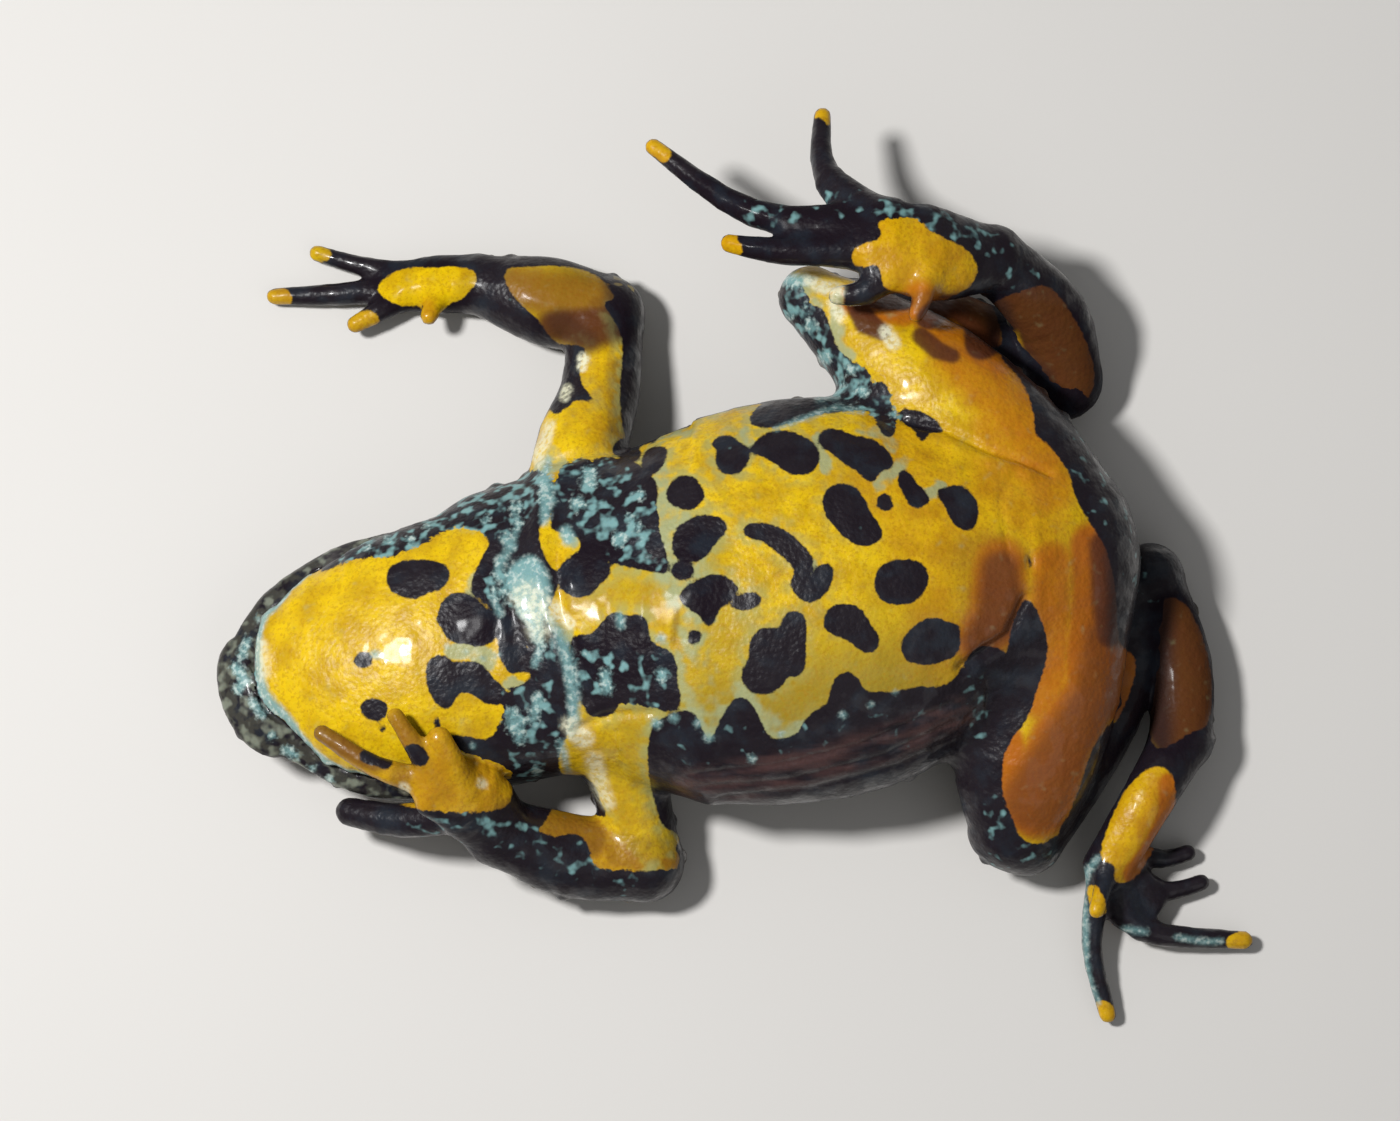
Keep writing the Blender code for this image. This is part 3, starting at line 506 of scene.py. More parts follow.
# Marks of the belly side: a tone, then points in steps of the view.
# Points of two numbers go round an area. A third number is the half width of a line there.
markings = {
    "body": [
        ("dark", [(613, 447), (620, 439), (631, 439), (640, 449), (640, 458), (631, 463), (620, 458)]),
        ("dark", [(642, 460), (647, 449), (659, 446), (668, 449), (666, 458), (659, 471), (651, 475),
         (643, 471)]),
        ("dark", [(667, 492), (672, 480), (683, 475), (695, 477), (702, 488), (706, 496), (696, 508),
         (687, 510), (674, 506), (667, 500)]),
        ("dark", [(712, 442), (720, 436), (731, 435), (738, 442), (747, 447), (750, 455), (746, 466),
         (738, 474), (726, 475), (718, 469), (715, 458), (718, 450), (713, 447)]),
        ("dark", [(750, 449), (758, 439), (771, 431), (787, 430), (801, 436), (814, 442), (820, 455),
         (817, 468), (806, 475), (793, 475), (781, 468), (768, 458), (755, 454)]),
        ("dark", [(819, 434), (828, 428), (841, 430), (854, 437), (867, 437), (881, 444), (891, 455),
         (894, 466), (887, 469), (878, 472), (875, 482), (867, 481), (859, 472), (846, 465), (832, 453),
         (820, 445)]),
        ("dark", [(899, 472), (905, 469), (911, 476), (918, 485), (929, 495), (929, 503), (918, 509),
         (910, 506), (903, 492), (898, 482)]),
        ("dark", [(937, 490), (946, 488), (956, 484), (969, 490), (978, 504), (978, 519), (972, 530),
         (961, 530), (950, 520), (946, 504), (938, 498)]),
        ("dark", [(876, 500), (884, 492), (892, 498), (893, 508), (886, 512), (878, 508)]),
        ("dark", [(822, 500), (828, 487), (843, 483), (857, 488), (865, 501), (871, 514), (881, 527),
         (883, 538), (873, 545), (860, 546), (846, 539), (835, 527), (825, 514)]),
        ("dark", [(672, 546), (674, 530), (688, 520), (699, 515), (717, 516), (727, 523), (725, 535),
         (717, 539), (710, 552), (701, 560), (688, 562), (675, 557)]),
        ("dark", [(672, 565), (679, 561), (693, 565), (695, 571), (688, 579), (679, 581), (672, 575)]),
        ("dark", [(679, 594), (691, 584), (707, 575), (723, 575), (737, 584), (738, 592), (728, 603),
         (717, 610), (714, 624), (707, 627), (701, 616), (688, 608), (679, 600)]),
        ("dark", [(730, 605), (739, 595), (754, 591), (762, 598), (760, 605), (747, 610), (736, 610)]),
        ("dark", [(742, 531), (747, 524), (761, 523), (777, 526), (793, 536), (806, 549), (814, 559),
         (811, 568), (808, 579), (811, 581), (814, 571), (822, 563), (832, 565), (834, 575), (828, 590),
         (819, 600), (809, 603), (797, 597), (791, 587), (791, 579), (797, 571), (787, 560), (774, 549),
         (761, 539), (747, 538)]),
        ("dark", [(875, 584), (876, 571), (887, 562), (905, 559), (921, 562), (929, 573), (927, 587),
         (918, 600), (902, 605), (886, 603), (876, 594)]),
        ("dark", [(687, 635), (691, 630), (699, 630), (702, 637), (696, 645), (690, 644)]),
        ("dark", [(824, 622), (827, 610), (838, 604), (854, 605), (865, 613), (870, 626), (879, 635),
         (879, 645), (871, 654), (860, 651), (851, 641), (835, 635), (825, 630)]),
        ("dark", [(749, 645), (755, 632), (768, 627), (781, 629), (782, 618), (793, 610), (805, 614),
         (806, 635), (805, 657), (805, 670), (795, 677), (787, 675), (782, 686), (769, 694), (755, 694),
         (744, 686), (741, 672), (749, 661)]),
        ("dark", [(902, 641), (911, 629), (930, 616), (946, 622), (959, 624), (961, 641), (956, 657),
         (940, 662), (924, 665), (908, 662), (901, 651)]),
        ("dark", [(650, 728), (659, 720), (679, 712), (688, 710), (698, 718), (702, 731), (709, 744),
         (717, 728), (723, 715), (734, 699), (742, 696), (755, 708), (763, 728), (771, 740), (781, 739),
         (797, 736), (806, 718), (819, 708), (828, 705), (832, 686), (838, 674), (851, 672), (860, 681),
         (864, 692), (876, 692), (895, 694), (915, 686), (930, 688), (946, 686), (962, 673), (982, 651),
         (993, 647), (1010, 654), (1023, 747), (915, 826), (672, 852), (647, 779)]),
        ("dark", [(557, 485), (561, 466), (575, 457), (586, 457), (592, 464), (599, 457), (612, 457),
         (634, 461), (650, 476), (658, 485), (656, 508), (659, 523), (659, 533), (666, 552), (669, 575),
         (653, 571), (634, 568), (608, 562), (592, 552), (573, 559), (564, 557), (554, 546), (551, 527),
         (554, 508)]),
        ("dark", [(556, 571), (564, 562), (580, 554), (596, 554), (610, 565), (610, 575), (599, 584),
         (592, 594), (580, 598), (567, 594), (557, 584)]),
        ("dark", [(569, 638), (580, 635), (592, 635), (602, 622), (612, 613), (621, 613), (628, 618),
         (637, 614), (647, 618), (648, 635), (653, 645), (672, 651), (677, 667), (677, 686), (682, 702),
         (672, 712), (653, 708), (637, 704), (621, 702), (613, 712), (605, 719), (592, 718), (584, 708),
         (577, 686), (572, 661)]),
        ("dark", [(493, 540), (512, 520), (541, 528), (541, 545), (546, 562), (556, 572), (556, 590),
         (550, 605), (549, 625), (562, 640), (572, 655), (577, 680), (577, 705), (572, 725), (562, 742),
         (556, 768), (572, 788), (590, 830), (520, 830), (508, 800), (505, 785), (498, 770), (475, 758),
         (455, 748), (443, 736), (465, 736), (488, 742), (498, 730), (505, 712), (503, 698), (515, 684),
         (508, 670), (498, 655), (500, 640), (498, 618), (486, 602), (470, 592), (474, 575), (483, 556)]),
        # Partly painted highlight: the pale patch of the neck is the skin's pale tone, made whiter where
        # the wet skin shines.
        ("pale", [(505, 572), (515, 560), (530, 555), (541, 561), (549, 575), (552, 592), (550, 612),
         (543, 628), (543, 646), (533, 645), (529, 626), (518, 614), (508, 602), (499, 592)]),
        ("pale", [(541, 628, 3), (542, 645, 3), (535, 664, 4)]),
        ("gold", [(506, 680, 5), (516, 680, 7), (526, 676, 4)]),
        ("gold", [(520, 640, 2), (527, 646, 2)]),
        ("pale", [(512, 712, 5), (514, 728, 6)]),
        # Partly painted highlight: a pale line along the crest of the neck fold.
        ("pale", [(553, 618, 3), (560, 640, 3.5), (567, 662, 4.5), (572, 690, 4), (574, 715, 5),
         (572, 732, 4)]),
        ("pale", [(500, 560, 4), (494, 600, 3), (500, 614, 3)]),
        ("black", [(497, 582, 4.5), (500, 590, 3)]),
        ("black", [(507, 598, 5), (514, 604, 3)]),
        ("black", [(500, 624), (512, 618), (524, 625), (528, 640), (522, 656), (512, 668), (503, 660),
         (498, 645)]),
        ("pale", [(513, 505, 2.5), (517, 525, 2.5), (510, 545, 3), (502, 560, 3.5)]),
        ("pale", [(547, 472, 4), (547, 488, 6), (546, 505, 6)]),
        ("dark", [(386, 578), (389, 567), (402, 561), (421, 560), (440, 562), (450, 569), (448, 581),
         (442, 589), (428, 592), (418, 599), (402, 597), (389, 589)]),
        ("dark", [(440, 605), (450, 594), (463, 592), (475, 599), (485, 608), (498, 618), (498, 631),
         (491, 643), (479, 647), (466, 643), (453, 643), (447, 637), (441, 626), (435, 620), (440, 612)]),
        ("dark", [(427, 663), (436, 655), (447, 656), (453, 664), (469, 661), (482, 664), (493, 679),
         (504, 688), (509, 695), (503, 704), (491, 706), (479, 699), (469, 691), (458, 693), (453, 704),
         (445, 710), (436, 704), (429, 691), (426, 679)]),
        ("dark", [(433, 720), (439, 717), (441, 723), (439, 730), (435, 728)]),
        ("dark", [(359, 707), (364, 701), (373, 698), (385, 701), (388, 709), (385, 718), (375, 721),
         (364, 717)]),
        ("dark", [(378, 727), (383, 724), (387, 727), (384, 732), (379, 730)]),
        ("dark", [(353, 663), (356, 655), (365, 651), (374, 656), (370, 666), (361, 669)]),
        ("dark", [(318, 573), (330, 562), (345, 548), (372, 530), (400, 508), (450, 490), (500, 474),
         (548, 470), (560, 500), (541, 528), (512, 560), (486, 590), (470, 592), (474, 577), (482, 560),
         (492, 541), (478, 530), (457, 526), (441, 532), (425, 541), (408, 550), (390, 557), (365, 557),
         (345, 562), (330, 568)]),
        ("gold", [(541, 533), (551, 528), (569, 536), (580, 539), (581, 549), (572, 554), (557, 559),
         (548, 559), (541, 546)]),
        ("dark", [(772, 269), (793, 276), (805, 291), (811, 306), (824, 309), (830, 328), (836, 349),
         (851, 361), (862, 367), (870, 375), (870, 386), (882, 381), (891, 390), (889, 404), (896, 410),
         (894, 438), (885, 436), (879, 429), (873, 413), (854, 407), (836, 404), (824, 401), (805, 371),
         (787, 334), (769, 303)]),
        ("dark", [(897, 412), (906, 409), (922, 412), (934, 419), (946, 431), (934, 432), (927, 435),
         (925, 442), (918, 440), (914, 430), (906, 424), (900, 418)]),
        ("dark", [(985, 290), (1004, 322), (1022, 352), (1037, 386), (1069, 401), (1118, 447), (1118, 493),
         (1081, 493), (1069, 472), (1050, 444), (1035, 435), (1035, 416), (1028, 392), (1018, 374),
         (1003, 361), (998, 342), (988, 316)]),
        ("dark", [(1030, 598), (1040, 618), (1048, 642), (1045, 665), (1036, 690), (1030, 712), (1020, 729),
         (1005, 742), (1003, 762), (1001, 782), (1004, 802), (1012, 818), (1018, 836), (1030, 845),
         (1045, 844), (1058, 834), (1072, 858), (1041, 889), (995, 889), (950, 839), (937, 773), (950, 723),
         (962, 690), (968, 662), (974, 651), (986, 645), (998, 655), (1003, 664), (1012, 640),
         (1022, 605)]),
        ("dark", [(1035, 392), (1036, 425), (1045, 435), (1066, 454), (1072, 483), (1076, 499), (1095, 529),
         (1107, 549), (1116, 582), (1118, 624), (1120, 645), (1132, 653), (1136, 666), (1131, 684),
         (1121, 712), (1105, 730), (1092, 750), (1084, 776), (1070, 814), (1056, 834), (1066, 864),
         (1165, 815), (1182, 649), (1165, 566), (1132, 483), (1099, 417), (1078, 392)]),
        ("dark", [(572, 777), (584, 774), (596, 787), (600, 803), (607, 814), (599, 819), (589, 811),
         (584, 797), (575, 789)]),
        ("dark", [(590, 868), (620, 870), (651, 873), (670, 866), (680, 835), (715, 835), (715, 946),
         (590, 946)]),
        ("dark", [(745, 424), (762, 402), (790, 386), (830, 374), (868, 376), (890, 400), (893, 420),
         (880, 413), (860, 410), (840, 411), (815, 415), (790, 423), (772, 428)]),
        # Painted shade: a black dot in the pit of the vent.
        ("black", [(1030, 556, 1.6), (1031, 566, 1.6)]),
        ("dark", [(554, 340), (569, 346), (586, 346), (580, 363), (579, 381), (590, 396), (594, 402),
         (576, 398), (566, 408), (554, 416), (546, 400), (548, 375)]),
        ("dark", [(606, 289), (632, 290), (668, 320), (668, 440), (630, 446), (622, 425), (620, 392),
         (622, 369), (624, 341), (614, 318), (600, 300)]),
    ],
    "leftLowerArm": [
        ("gold", [(376, 289), (388, 275), (411, 267), (434, 269), (451, 266), (474, 270), (478, 280),
         (468, 292), (462, 299), (448, 303), (438, 319), (425, 319), (421, 309), (422, 305), (399, 306),
         (382, 296)]),
        ("gold", [(503, 269), (526, 267), (566, 266), (594, 273), (612, 292), (623, 315), (626, 341),
         (612, 349), (580, 349), (554, 343), (540, 320), (523, 306), (508, 289)]),
        ("gold", [(315, 250, 7.5), (324, 254, 6.9)]),
        ("gold", [(267, 295, 9.2), (282, 299, 9.8)]),
        ("gold", [(358, 322, 10.9), (368, 322, 10.9)]),
    ],
    "rightLowerArm": [
        ("dark", [(325, 796), (350, 794), (380, 798), (402, 806), (430, 812), (466, 813), (492, 812),
         (511, 806), (514, 780), (522, 762), (548, 775), (556, 800), (545, 822), (536, 830), (543, 835),
         (559, 838), (572, 833), (584, 838), (589, 854), (597, 871), (620, 870), (651, 873), (677, 879),
         (683, 835), (715, 835), (715, 946), (651, 946), (333, 883), (326, 812)]),
        ("dark", [(366, 756, 6), (386, 763, 6)]),
        ("dark", [(403, 746), (418, 743), (430, 756), (424, 768), (408, 762)]),
    ],
    "shanks": [
        ("gold", [(1108, 645), (1121, 649), (1134, 655), (1136, 667), (1132, 684), (1122, 712), (1108, 730),
         (1100, 700)]),
        ("gold", [(925, 296), (985, 292), (998, 320), (1004, 346), (985, 348), (955, 334), (930, 325)]),
    ],
    "leftFoot": [
        ("gold", [(877, 223), (886, 219), (899, 220), (910, 216), (919, 220), (928, 230), (946, 240),
         (966, 248), (978, 265), (975, 280), (964, 291), (940, 300), (929, 331), (917, 337), (909, 328),
         (909, 309), (900, 292), (886, 290), (881, 276), (881, 267), (872, 262), (868, 267), (856, 266),
         (850, 257), (858, 245), (878, 242), (883, 232)]),
        ("gold", [(988, 306), (1004, 298), (1023, 291), (1045, 284), (1060, 297), (1074, 318), (1087, 345),
         (1095, 372), (1092, 394), (1080, 405), (1066, 399), (1050, 381), (1036, 363), (1022, 345),
         (1006, 329), (992, 317)]),
        ("gold", [(723, 247, 10.4), (732, 249, 9.8)]),
        ("gold", [(657, 147, 8), (663, 154, 8)]),
        ("gold", [(830, 110, 7.3), (830, 118, 6.7)]),
    ],
    "rightFoot": [
        ("gold", [(1155, 599), (1182, 597), (1201, 632), (1210, 665), (1212, 698), (1208, 727), (1190, 732),
         (1172, 744), (1158, 750), (1151, 740), (1149, 715), (1151, 690), (1153, 649)]),
        ("gold", [(1149, 767), (1165, 767), (1173, 777), (1176, 798), (1169, 827), (1153, 848), (1140, 873),
         (1126, 883), (1114, 882), (1116, 868), (1111, 861), (1101, 862), (1102, 844), (1113, 815),
         (1128, 786)]),
        ("gold", [(1093, 891, 5.8), (1097, 902, 7), (1100, 910, 5.5)]),
        ("gold", [(1102, 1009, 8.3), (1113, 1022, 9.9)]),
        ("gold", [(1235, 943, 8.3), (1252, 938, 10.8)]),
    ],
}
# Pale flecks of the skin, each a row of rounds in steps; a few are painted glints.
paleSpotsAndGlints = [
    [(247, 640, 3), (242, 655, 4)], [(236, 668, 5), (245, 680, 5), (238, 690, 4)],
    [(253, 702, 4), (262, 714, 4)], [(272, 735, 4)], [(286, 750, 4), (296, 756, 3)], [(312, 768, 3)],
    [(258, 618, 2.5)], [(330, 780, 3)],
    # Painted glints: the next three rows are pale lines along the edge of the right foot and its second and
    # third toes.
    [(1098, 858, 2.5), (1087, 872, 3.5), (1081, 890, 4.5), (1083, 905, 3)],
    [(1085, 906, 2.5), (1085, 930, 3), (1086, 960, 2.5), (1091, 985, 2), (1099, 1003, 2)],
    [(1124, 929, 2.5), (1146, 932, 2.5)], [(1176, 937, 2), (1205, 942, 2.5), (1222, 941, 2)],
    [(375, 654, 4.5), (380, 656, 3)], [(589, 472, 6.4), (589, 482, 7.7)], [(577, 504, 7)],
    [(619, 541, 6.4)], [(639, 495, 4.5)], [(628, 516, 2.6), (639, 528, 3.2)],
    [(565, 530, 5.7), (569, 539, 7)], [(605, 675, 5.7), (607, 689, 5.1)], [(662, 675, 6.4)],
    [(620, 616, 3.8), (621, 626, 3.2)], [(661, 639, 5.1)], [(585, 653, 1.9)],
    [(548, 460, 3.8), (548, 485, 5.1), (547, 504, 5.7), (545, 523, 3.8)],
    [(548, 616, 3.8), (561, 635, 4.5), (569, 661, 4.5), (574, 686, 4.5), (576, 718, 4.5)],
    [(538, 699, 5.7), (533, 720, 4.5)], [(521, 720, 4.5), (519, 739, 5.1)], [(537, 771, 3.8)],
    [(473, 746, 2.6)], [(505, 538, 4.5), (511, 545, 5.1)], [(518, 522, 3.8)], [(519, 506, 3.8)],
    [(620, 538, 7)], [(581, 505, 5.1)], [(368, 548, 2.9)], [(388, 539, 3.2)], [(411, 540, 3.8)],
    [(428, 527, 2.6)], [(486, 519, 3.2)], [(551, 500, 5.1)],
    [(778, 277, 5.5), (793, 281, 6.7), (808, 280, 5.5)], [(790, 315, 3.7)], [(810, 325, 5.5)],
    [(824, 358, 6.1)], [(851, 369, 4.9)], [(862, 391, 6.1)], [(841, 383, 3.1)], [(893, 413, 3.7)],
    [(807, 306, 2.4)], [(775, 429, 1.8), (811, 416, 2.1), (836, 407, 1.8), (863, 412, 2.1)],
    [(818, 398, 2.4), (836, 397, 1.8)], [(698, 723, 3.8)], [(709, 737, 4.5)], [(674, 718, 4.5)],
    [(781, 734, 3.2)], [(843, 715, 3.2)], [(752, 759, 3.8)], [(871, 705, 2.6)], [(895, 692, 1.9)],
    [(656, 723, 5.1)], [(447, 646, 2.5)], [(466, 652, 2)], [(483, 658, 2.5)], [(497, 655, 3)],
    [(561, 742, 4), (564, 756, 4), (568, 770, 2.5)],
]

# Soft layers: strength, feather and a row of rounds in steps, and the part where it is alone.
softLayers = {
    "haze": [
        (0.75, 12, [(660, 470, 3), (667, 520, 6), (668, 570, 8), (674, 600, 5)]),
        (0.6, 16, [(672, 520, 12), (690, 575, 10), (700, 620, 10)]),
        (1.0, 5, [(817, 437, 3), (822, 455, 3), (827, 470, 4)]),
        (0.8, 7, [(880, 485, 4), (892, 471, 4), (905, 462, 3)]),
        (0.9, 6, [(930, 494, 4), (940, 487, 4)]),
        (0.6, 20, [(690, 640, 8), (700, 690, 10), (715, 725, 10)]),
        (0.8, 8, [(738, 690, 5), (755, 705, 5), (775, 728, 6), (800, 732, 7), (850, 726, 6)]),
        (0.9, 7, [(690, 716, 6), (706, 738, 6)]),
        (0.7, 6, [(812, 565, 4), (808, 590, 3)]),
        (0.7, 8, [(650, 436, 3), (690, 434, 3)]),
        (0.8, 6, [(745, 432, 3), (752, 446, 3)]),
        (0.6, 6, [(860, 428, 3), (885, 434, 4), (893, 446, 4)]),
        (1.0, 8, [(452, 652, 4), (472, 650, 6), (488, 660, 6)]),
        (1.0, 6, [(512, 684, 5), (522, 690, 4)]),
        (0.8, 8, [(478, 580, 5), (470, 592, 4)]),
        (0.9, 6, [(567, 533, 4), (572, 541, 4)]),
        (0.7, 8, [(565, 628, 5), (560, 700, 5), (572, 724, 5)]),
        (0.9, 7, [(555, 452, 4), (542, 470, 4), (560, 462, 4)]),
        (0.9, 7, [(836, 300, 4), (840, 345, 4), (850, 356, 3)]),
        (0.8, 6, [(875, 398, 3), (890, 412, 3)]),
        # This row is partly painted sheen: pale haze over the top of the left knee.
        (0.7, 9, [(790, 280, 8), (812, 284, 8), (822, 300, 5)]),
    ],
    # Brown, partly the skin's own tone and partly painted shade: on the shank and tarsus patches, the lower
    # right thigh, the left forearm and the thigh under the left foot.
    "brownAndShade": [
        (0.5, 26, [(510, 285, 8), (545, 296, 14), (590, 300, 18)]),
        (0.95, 24, [(552, 326, 6), (590, 328, 12), (620, 322, 10)]),
        (0.5, 14, [(619, 370, 6), (620, 420, 6), (618, 440, 4)]),
        (0.6, 18, [(508, 815, 10), (524, 819, 12), (588, 838, 14)]),
        (0.45, 14, [(620, 850, 12), (664, 858, 14)]),
        (1.0, 12, [(992, 306, 22), (1045, 300, 22), (1060, 335, 30), (1078, 385, 26)]),
        (1.0, 12, [(1168, 610, 24), (1184, 690, 36), (1180, 725, 26)]),
        (1.0, 6, [(852, 297, 5), (880, 300, 7), (904, 301, 6)]),
        (1.0, 7, [(857, 304, 8), (866, 322, 9), (882, 332, 5)]),
        (1.0, 8, [(928, 318, 8), (945, 306, 8), (965, 308, 12), (984, 322, 16), (982, 342, 14)]),
        (0.68, 12, [(318, 728, 8), (345, 745, 8), (375, 760, 8)], "rightLowerArm"),
        (0.5, 14, [(400, 720, 8), (412, 745, 8), (400, 780, 6)], "rightLowerArm"),
        (0.9, 7, [(921, 336, 6), (937, 350, 6), (953, 356, 4)]),
        (0.5, 5, [(673, 588, 1.5), (677, 612, 1.5), (674, 640, 1.5)]),
        (0.9, 16, [(1104, 545, 8), (1108, 600, 9), (1108, 636, 6)]),
        (0.72, 26, [(1000, 570, 10), (1002, 620, 16), (985, 640, 12)]),
        (1.0, 10, [(1030, 328, 8), (1038, 345, 10)]),
        (0.3, 8, [(267, 295, 10), (284, 299, 10)]),
        (0.3, 8, [(315, 243, 8), (324, 250, 8)]),
        (0.25, 8, [(356, 322, 10), (370, 322, 10)]),
        (0.4, 18, [(472, 285, 8), (464, 300, 4)]),
        (0.58, 28, [(1106, 640, 12), (1100, 700, 16), (1070, 740, 16), (1035, 800, 22)]),
        (0.35, 40, [(985, 560, 20), (1000, 610, 24), (985, 640, 14)]),
        (0.25, 40, [(1080, 540, 16), (1095, 600, 16)]),
        (0.3, 14, [(1165, 800, 6), (1150, 850, 6), (1128, 872, 6)]),
        (0.6, 20, [(600, 310, 10), (630, 330, 10)]),
    ],
    # Deeper orange, partly the skin's own tone and partly painted shade: the lower right thigh and the
    # shaded half of the right tarsus.
    "orangeAndShade": [
        (1.0, 22, [(1092, 545, 12), (1095, 600, 14), (1092, 650, 18), (1095, 690, 20), (1062, 740, 22),
         (1038, 800, 28)]),
        (0.35, 60, [(900, 470, 30), (960, 560, 30), (950, 640, 20)]),
        (0.9, 14, [(1122, 660, 12), (1118, 700, 12)]),
        (0.45, 40, [(1000, 480, 16), (1045, 520, 12)]),
        (0.35, 30, [(1050, 560, 16), (1055, 640, 16), (1055, 700, 14)]),
        (0.6, 30, [(1000, 425, 14), (1030, 460, 12), (1050, 490, 14)]),
        (0.8, 24, [(920, 300, 10), (950, 330, 16), (1000, 360, 10)]),
        (0.9, 14, [(850, 300, 8), (880, 305, 12), (905, 310, 10)]),
        (0.68, 36, [(965, 352, 18), (1012, 398, 20), (1040, 450, 16)]),
        (0.95, 10, [(1168, 782, 5), (1169, 812, 7), (1156, 846, 8), (1134, 874, 7)]),
        (0.9, 30, [(1000, 565, 14), (1000, 615, 20), (980, 640, 12)]),
        (1.0, 14, [(1008, 742, 10), (1010, 790, 12)]),
        (1.0, 10, [(1116, 706, 10)]),
        (0.8, 24, [(1052, 560, 10), (1050, 640, 12), (1044, 700, 12)]),
        (0.35, 8, [(267, 295, 10), (284, 299, 10)]),
        (0.35, 8, [(356, 322, 10), (370, 322, 10)]),
        (0.4, 8, [(428, 306, 4), (430, 318, 6)]),
        (0.25, 20, [(604, 365, 12), (600, 430, 16)]),
        (0.4, 26, [(520, 285, 8), (560, 295, 12), (596, 305, 14)]),
        (0.5, 24, [(1160, 790, 6), (1150, 835, 8)]),
    ],
    "speck": [
        (1.0, 16, [(590, 480, 30), (620, 520, 34)]),
        (0.9, 12, [(585, 670, 16), (640, 680, 28)]),
        (1.25, 10, [(495, 585, 10), (520, 590, 16), (536, 610, 10)]),
        (0.98, 12, [(514, 700, 10), (518, 730, 16), (530, 765, 14)]),
        (0.92, 12, [(545, 650, 8), (548, 700, 8), (550, 740, 8)]),
        (1.1, 12, [(632, 545, 12), (655, 560, 6)]),
        (1.05, 14, [(350, 550, 12), (380, 545, 12), (440, 525, 14), (500, 510, 20), (540, 480, 16)]),
        (0.85, 12, [(750, 212, 10), (850, 205, 12)]),
        (0.78, 14, [(975, 680, 10), (985, 725, 12)]),
        (0.8, 12, [(995, 805, 8), (998, 840, 6)]),
        (0.85, 10, [(1005, 855, 6), (1050, 858, 6)]),
        (0.74, 14, [(1130, 560, 8), (1150, 595, 8)]),
        (1.0, 12, [(795, 300, 12), (815, 350, 14), (860, 390, 18), (890, 410, 12)]),
        (0.8, 14, [(430, 825, 14), (520, 835, 16), (620, 880, 14)]),
        (0.88, 10, [(885, 208, 8), (945, 222, 8), (985, 242, 8)]),
        (0.7, 12, [(1000, 250, 10), (1030, 290, 12)]),
        (0.6, 14, [(1070, 430, 12), (1100, 480, 14), (1120, 530, 12)]),
        (0.5, 16, [(700, 750, 16), (850, 740, 12), (960, 690, 10)]),
        (0.5, 12, [(1000, 855, 10), (1040, 855, 10)]),
    ],
    "rose": [
        (1.0, 14, [(690, 785, 10), (760, 778, 14), (830, 760, 12), (900, 740, 12), (955, 715, 10)]),
    ],
    "shade": [
        (1.0, 130, [(700, 745, 10), (800, 735, 20), (890, 705, 10)]),
        (0.5, 40, [(640, 585, 10), (600, 590, 14), (700, 560, 10)]),
        (0.5, 60, [(720, 640, 20), (730, 690, 20)]),
        (0.8, 26, [(515, 285, 10), (560, 290, 16), (600, 300, 18)]),
    ],
    # Soft dark edges, partly painted shadow: under the left foot on the thigh, along the shaded left
    # forearm and at the right shank.
    "darkAndShadow": [
        (0.85, 22, [(1158, 595, 5), (1157, 680, 5), (1156, 742, 6)]),
        (0.8, 14, [(1116, 545, 3), (1119, 600, 4), (1117, 638, 3)]),
        (0.6, 14, [(998, 310, 6), (1010, 350, 6), (1040, 378, 6)]),
        (0.6, 10, [(995, 300, 4), (1000, 345, 6)]),
        (0.7, 16, [(617, 285, 6), (622, 325, 6)]),
        (0.4, 14, [(560, 322, 6), (585, 342, 6)]),
        (0.35, 10, [(920, 300, 4), (960, 300, 8)]),
    ],
    # Painted highlights: cream patches where the wet skin shines, on the knee, the left thigh, the neck,
    # the upper arms, the right palm and the chin.
    "paintedHighlight": [
        (0.8, 6, [(809, 279, 3), (822, 287, 4), (838, 290, 4)]),
        (0.8, 6, [(833, 304, 3), (840, 316, 3)]),
        (0.8, 6, [(886, 332, 4), (893, 343, 4)]),
        (0.6, 16, [(526, 596, 6), (540, 612, 8), (540, 628, 4)]),
        (0.8, 5, [(552, 603, 3), (560, 614, 3), (570, 624, 3)]),
        (0.75, 9, [(570, 724, 4), (584, 738, 5)]),
        (0.6, 9, [(594, 760, 4), (600, 785, 4), (608, 803, 2)]),
        (0.9, 4, [(583, 359, 4), (582, 367, 3)]),
        (0.85, 4, [(567, 389, 3), (564, 397, 3)]),
        (0.7, 6, [(550, 425, 2), (545, 442, 3), (537, 455, 3), (541, 464, 3)]),
        (0.6, 5, [(481, 783, 2.5), (483, 784, 2)]),
        (0.6, 5, [(404, 787, 2.5), (406, 790, 2)]),
        (0.5, 6, [(262, 645, 3), (264, 675, 3)]),
    ],
    "dry": [
        (1.0, 26, [(600, 570, 24), (640, 600, 26), (690, 600, 26), (700, 560, 20)]),
        (0.7, 30, [(600, 650, 20), (650, 650, 20)]),
        (0.9, 20, [(720, 250, 12), (800, 230, 16), (880, 225, 12), (600, 190, 14), (740, 200, 14)]),
        (1.0, 16, [(980, 320, 24), (1050, 340, 30), (1080, 390, 24)]),
        (1.0, 20, [(560, 300, 24), (610, 330, 16)]),
        (1.0, 20, [(1175, 620, 20), (1185, 690, 26), (1170, 735, 14)]),
        (0.8, 20, [(500, 590, 20), (480, 620, 20)]),
        (0.95, 20, [(400, 285, 20), (450, 285, 16)]),
    ],
}
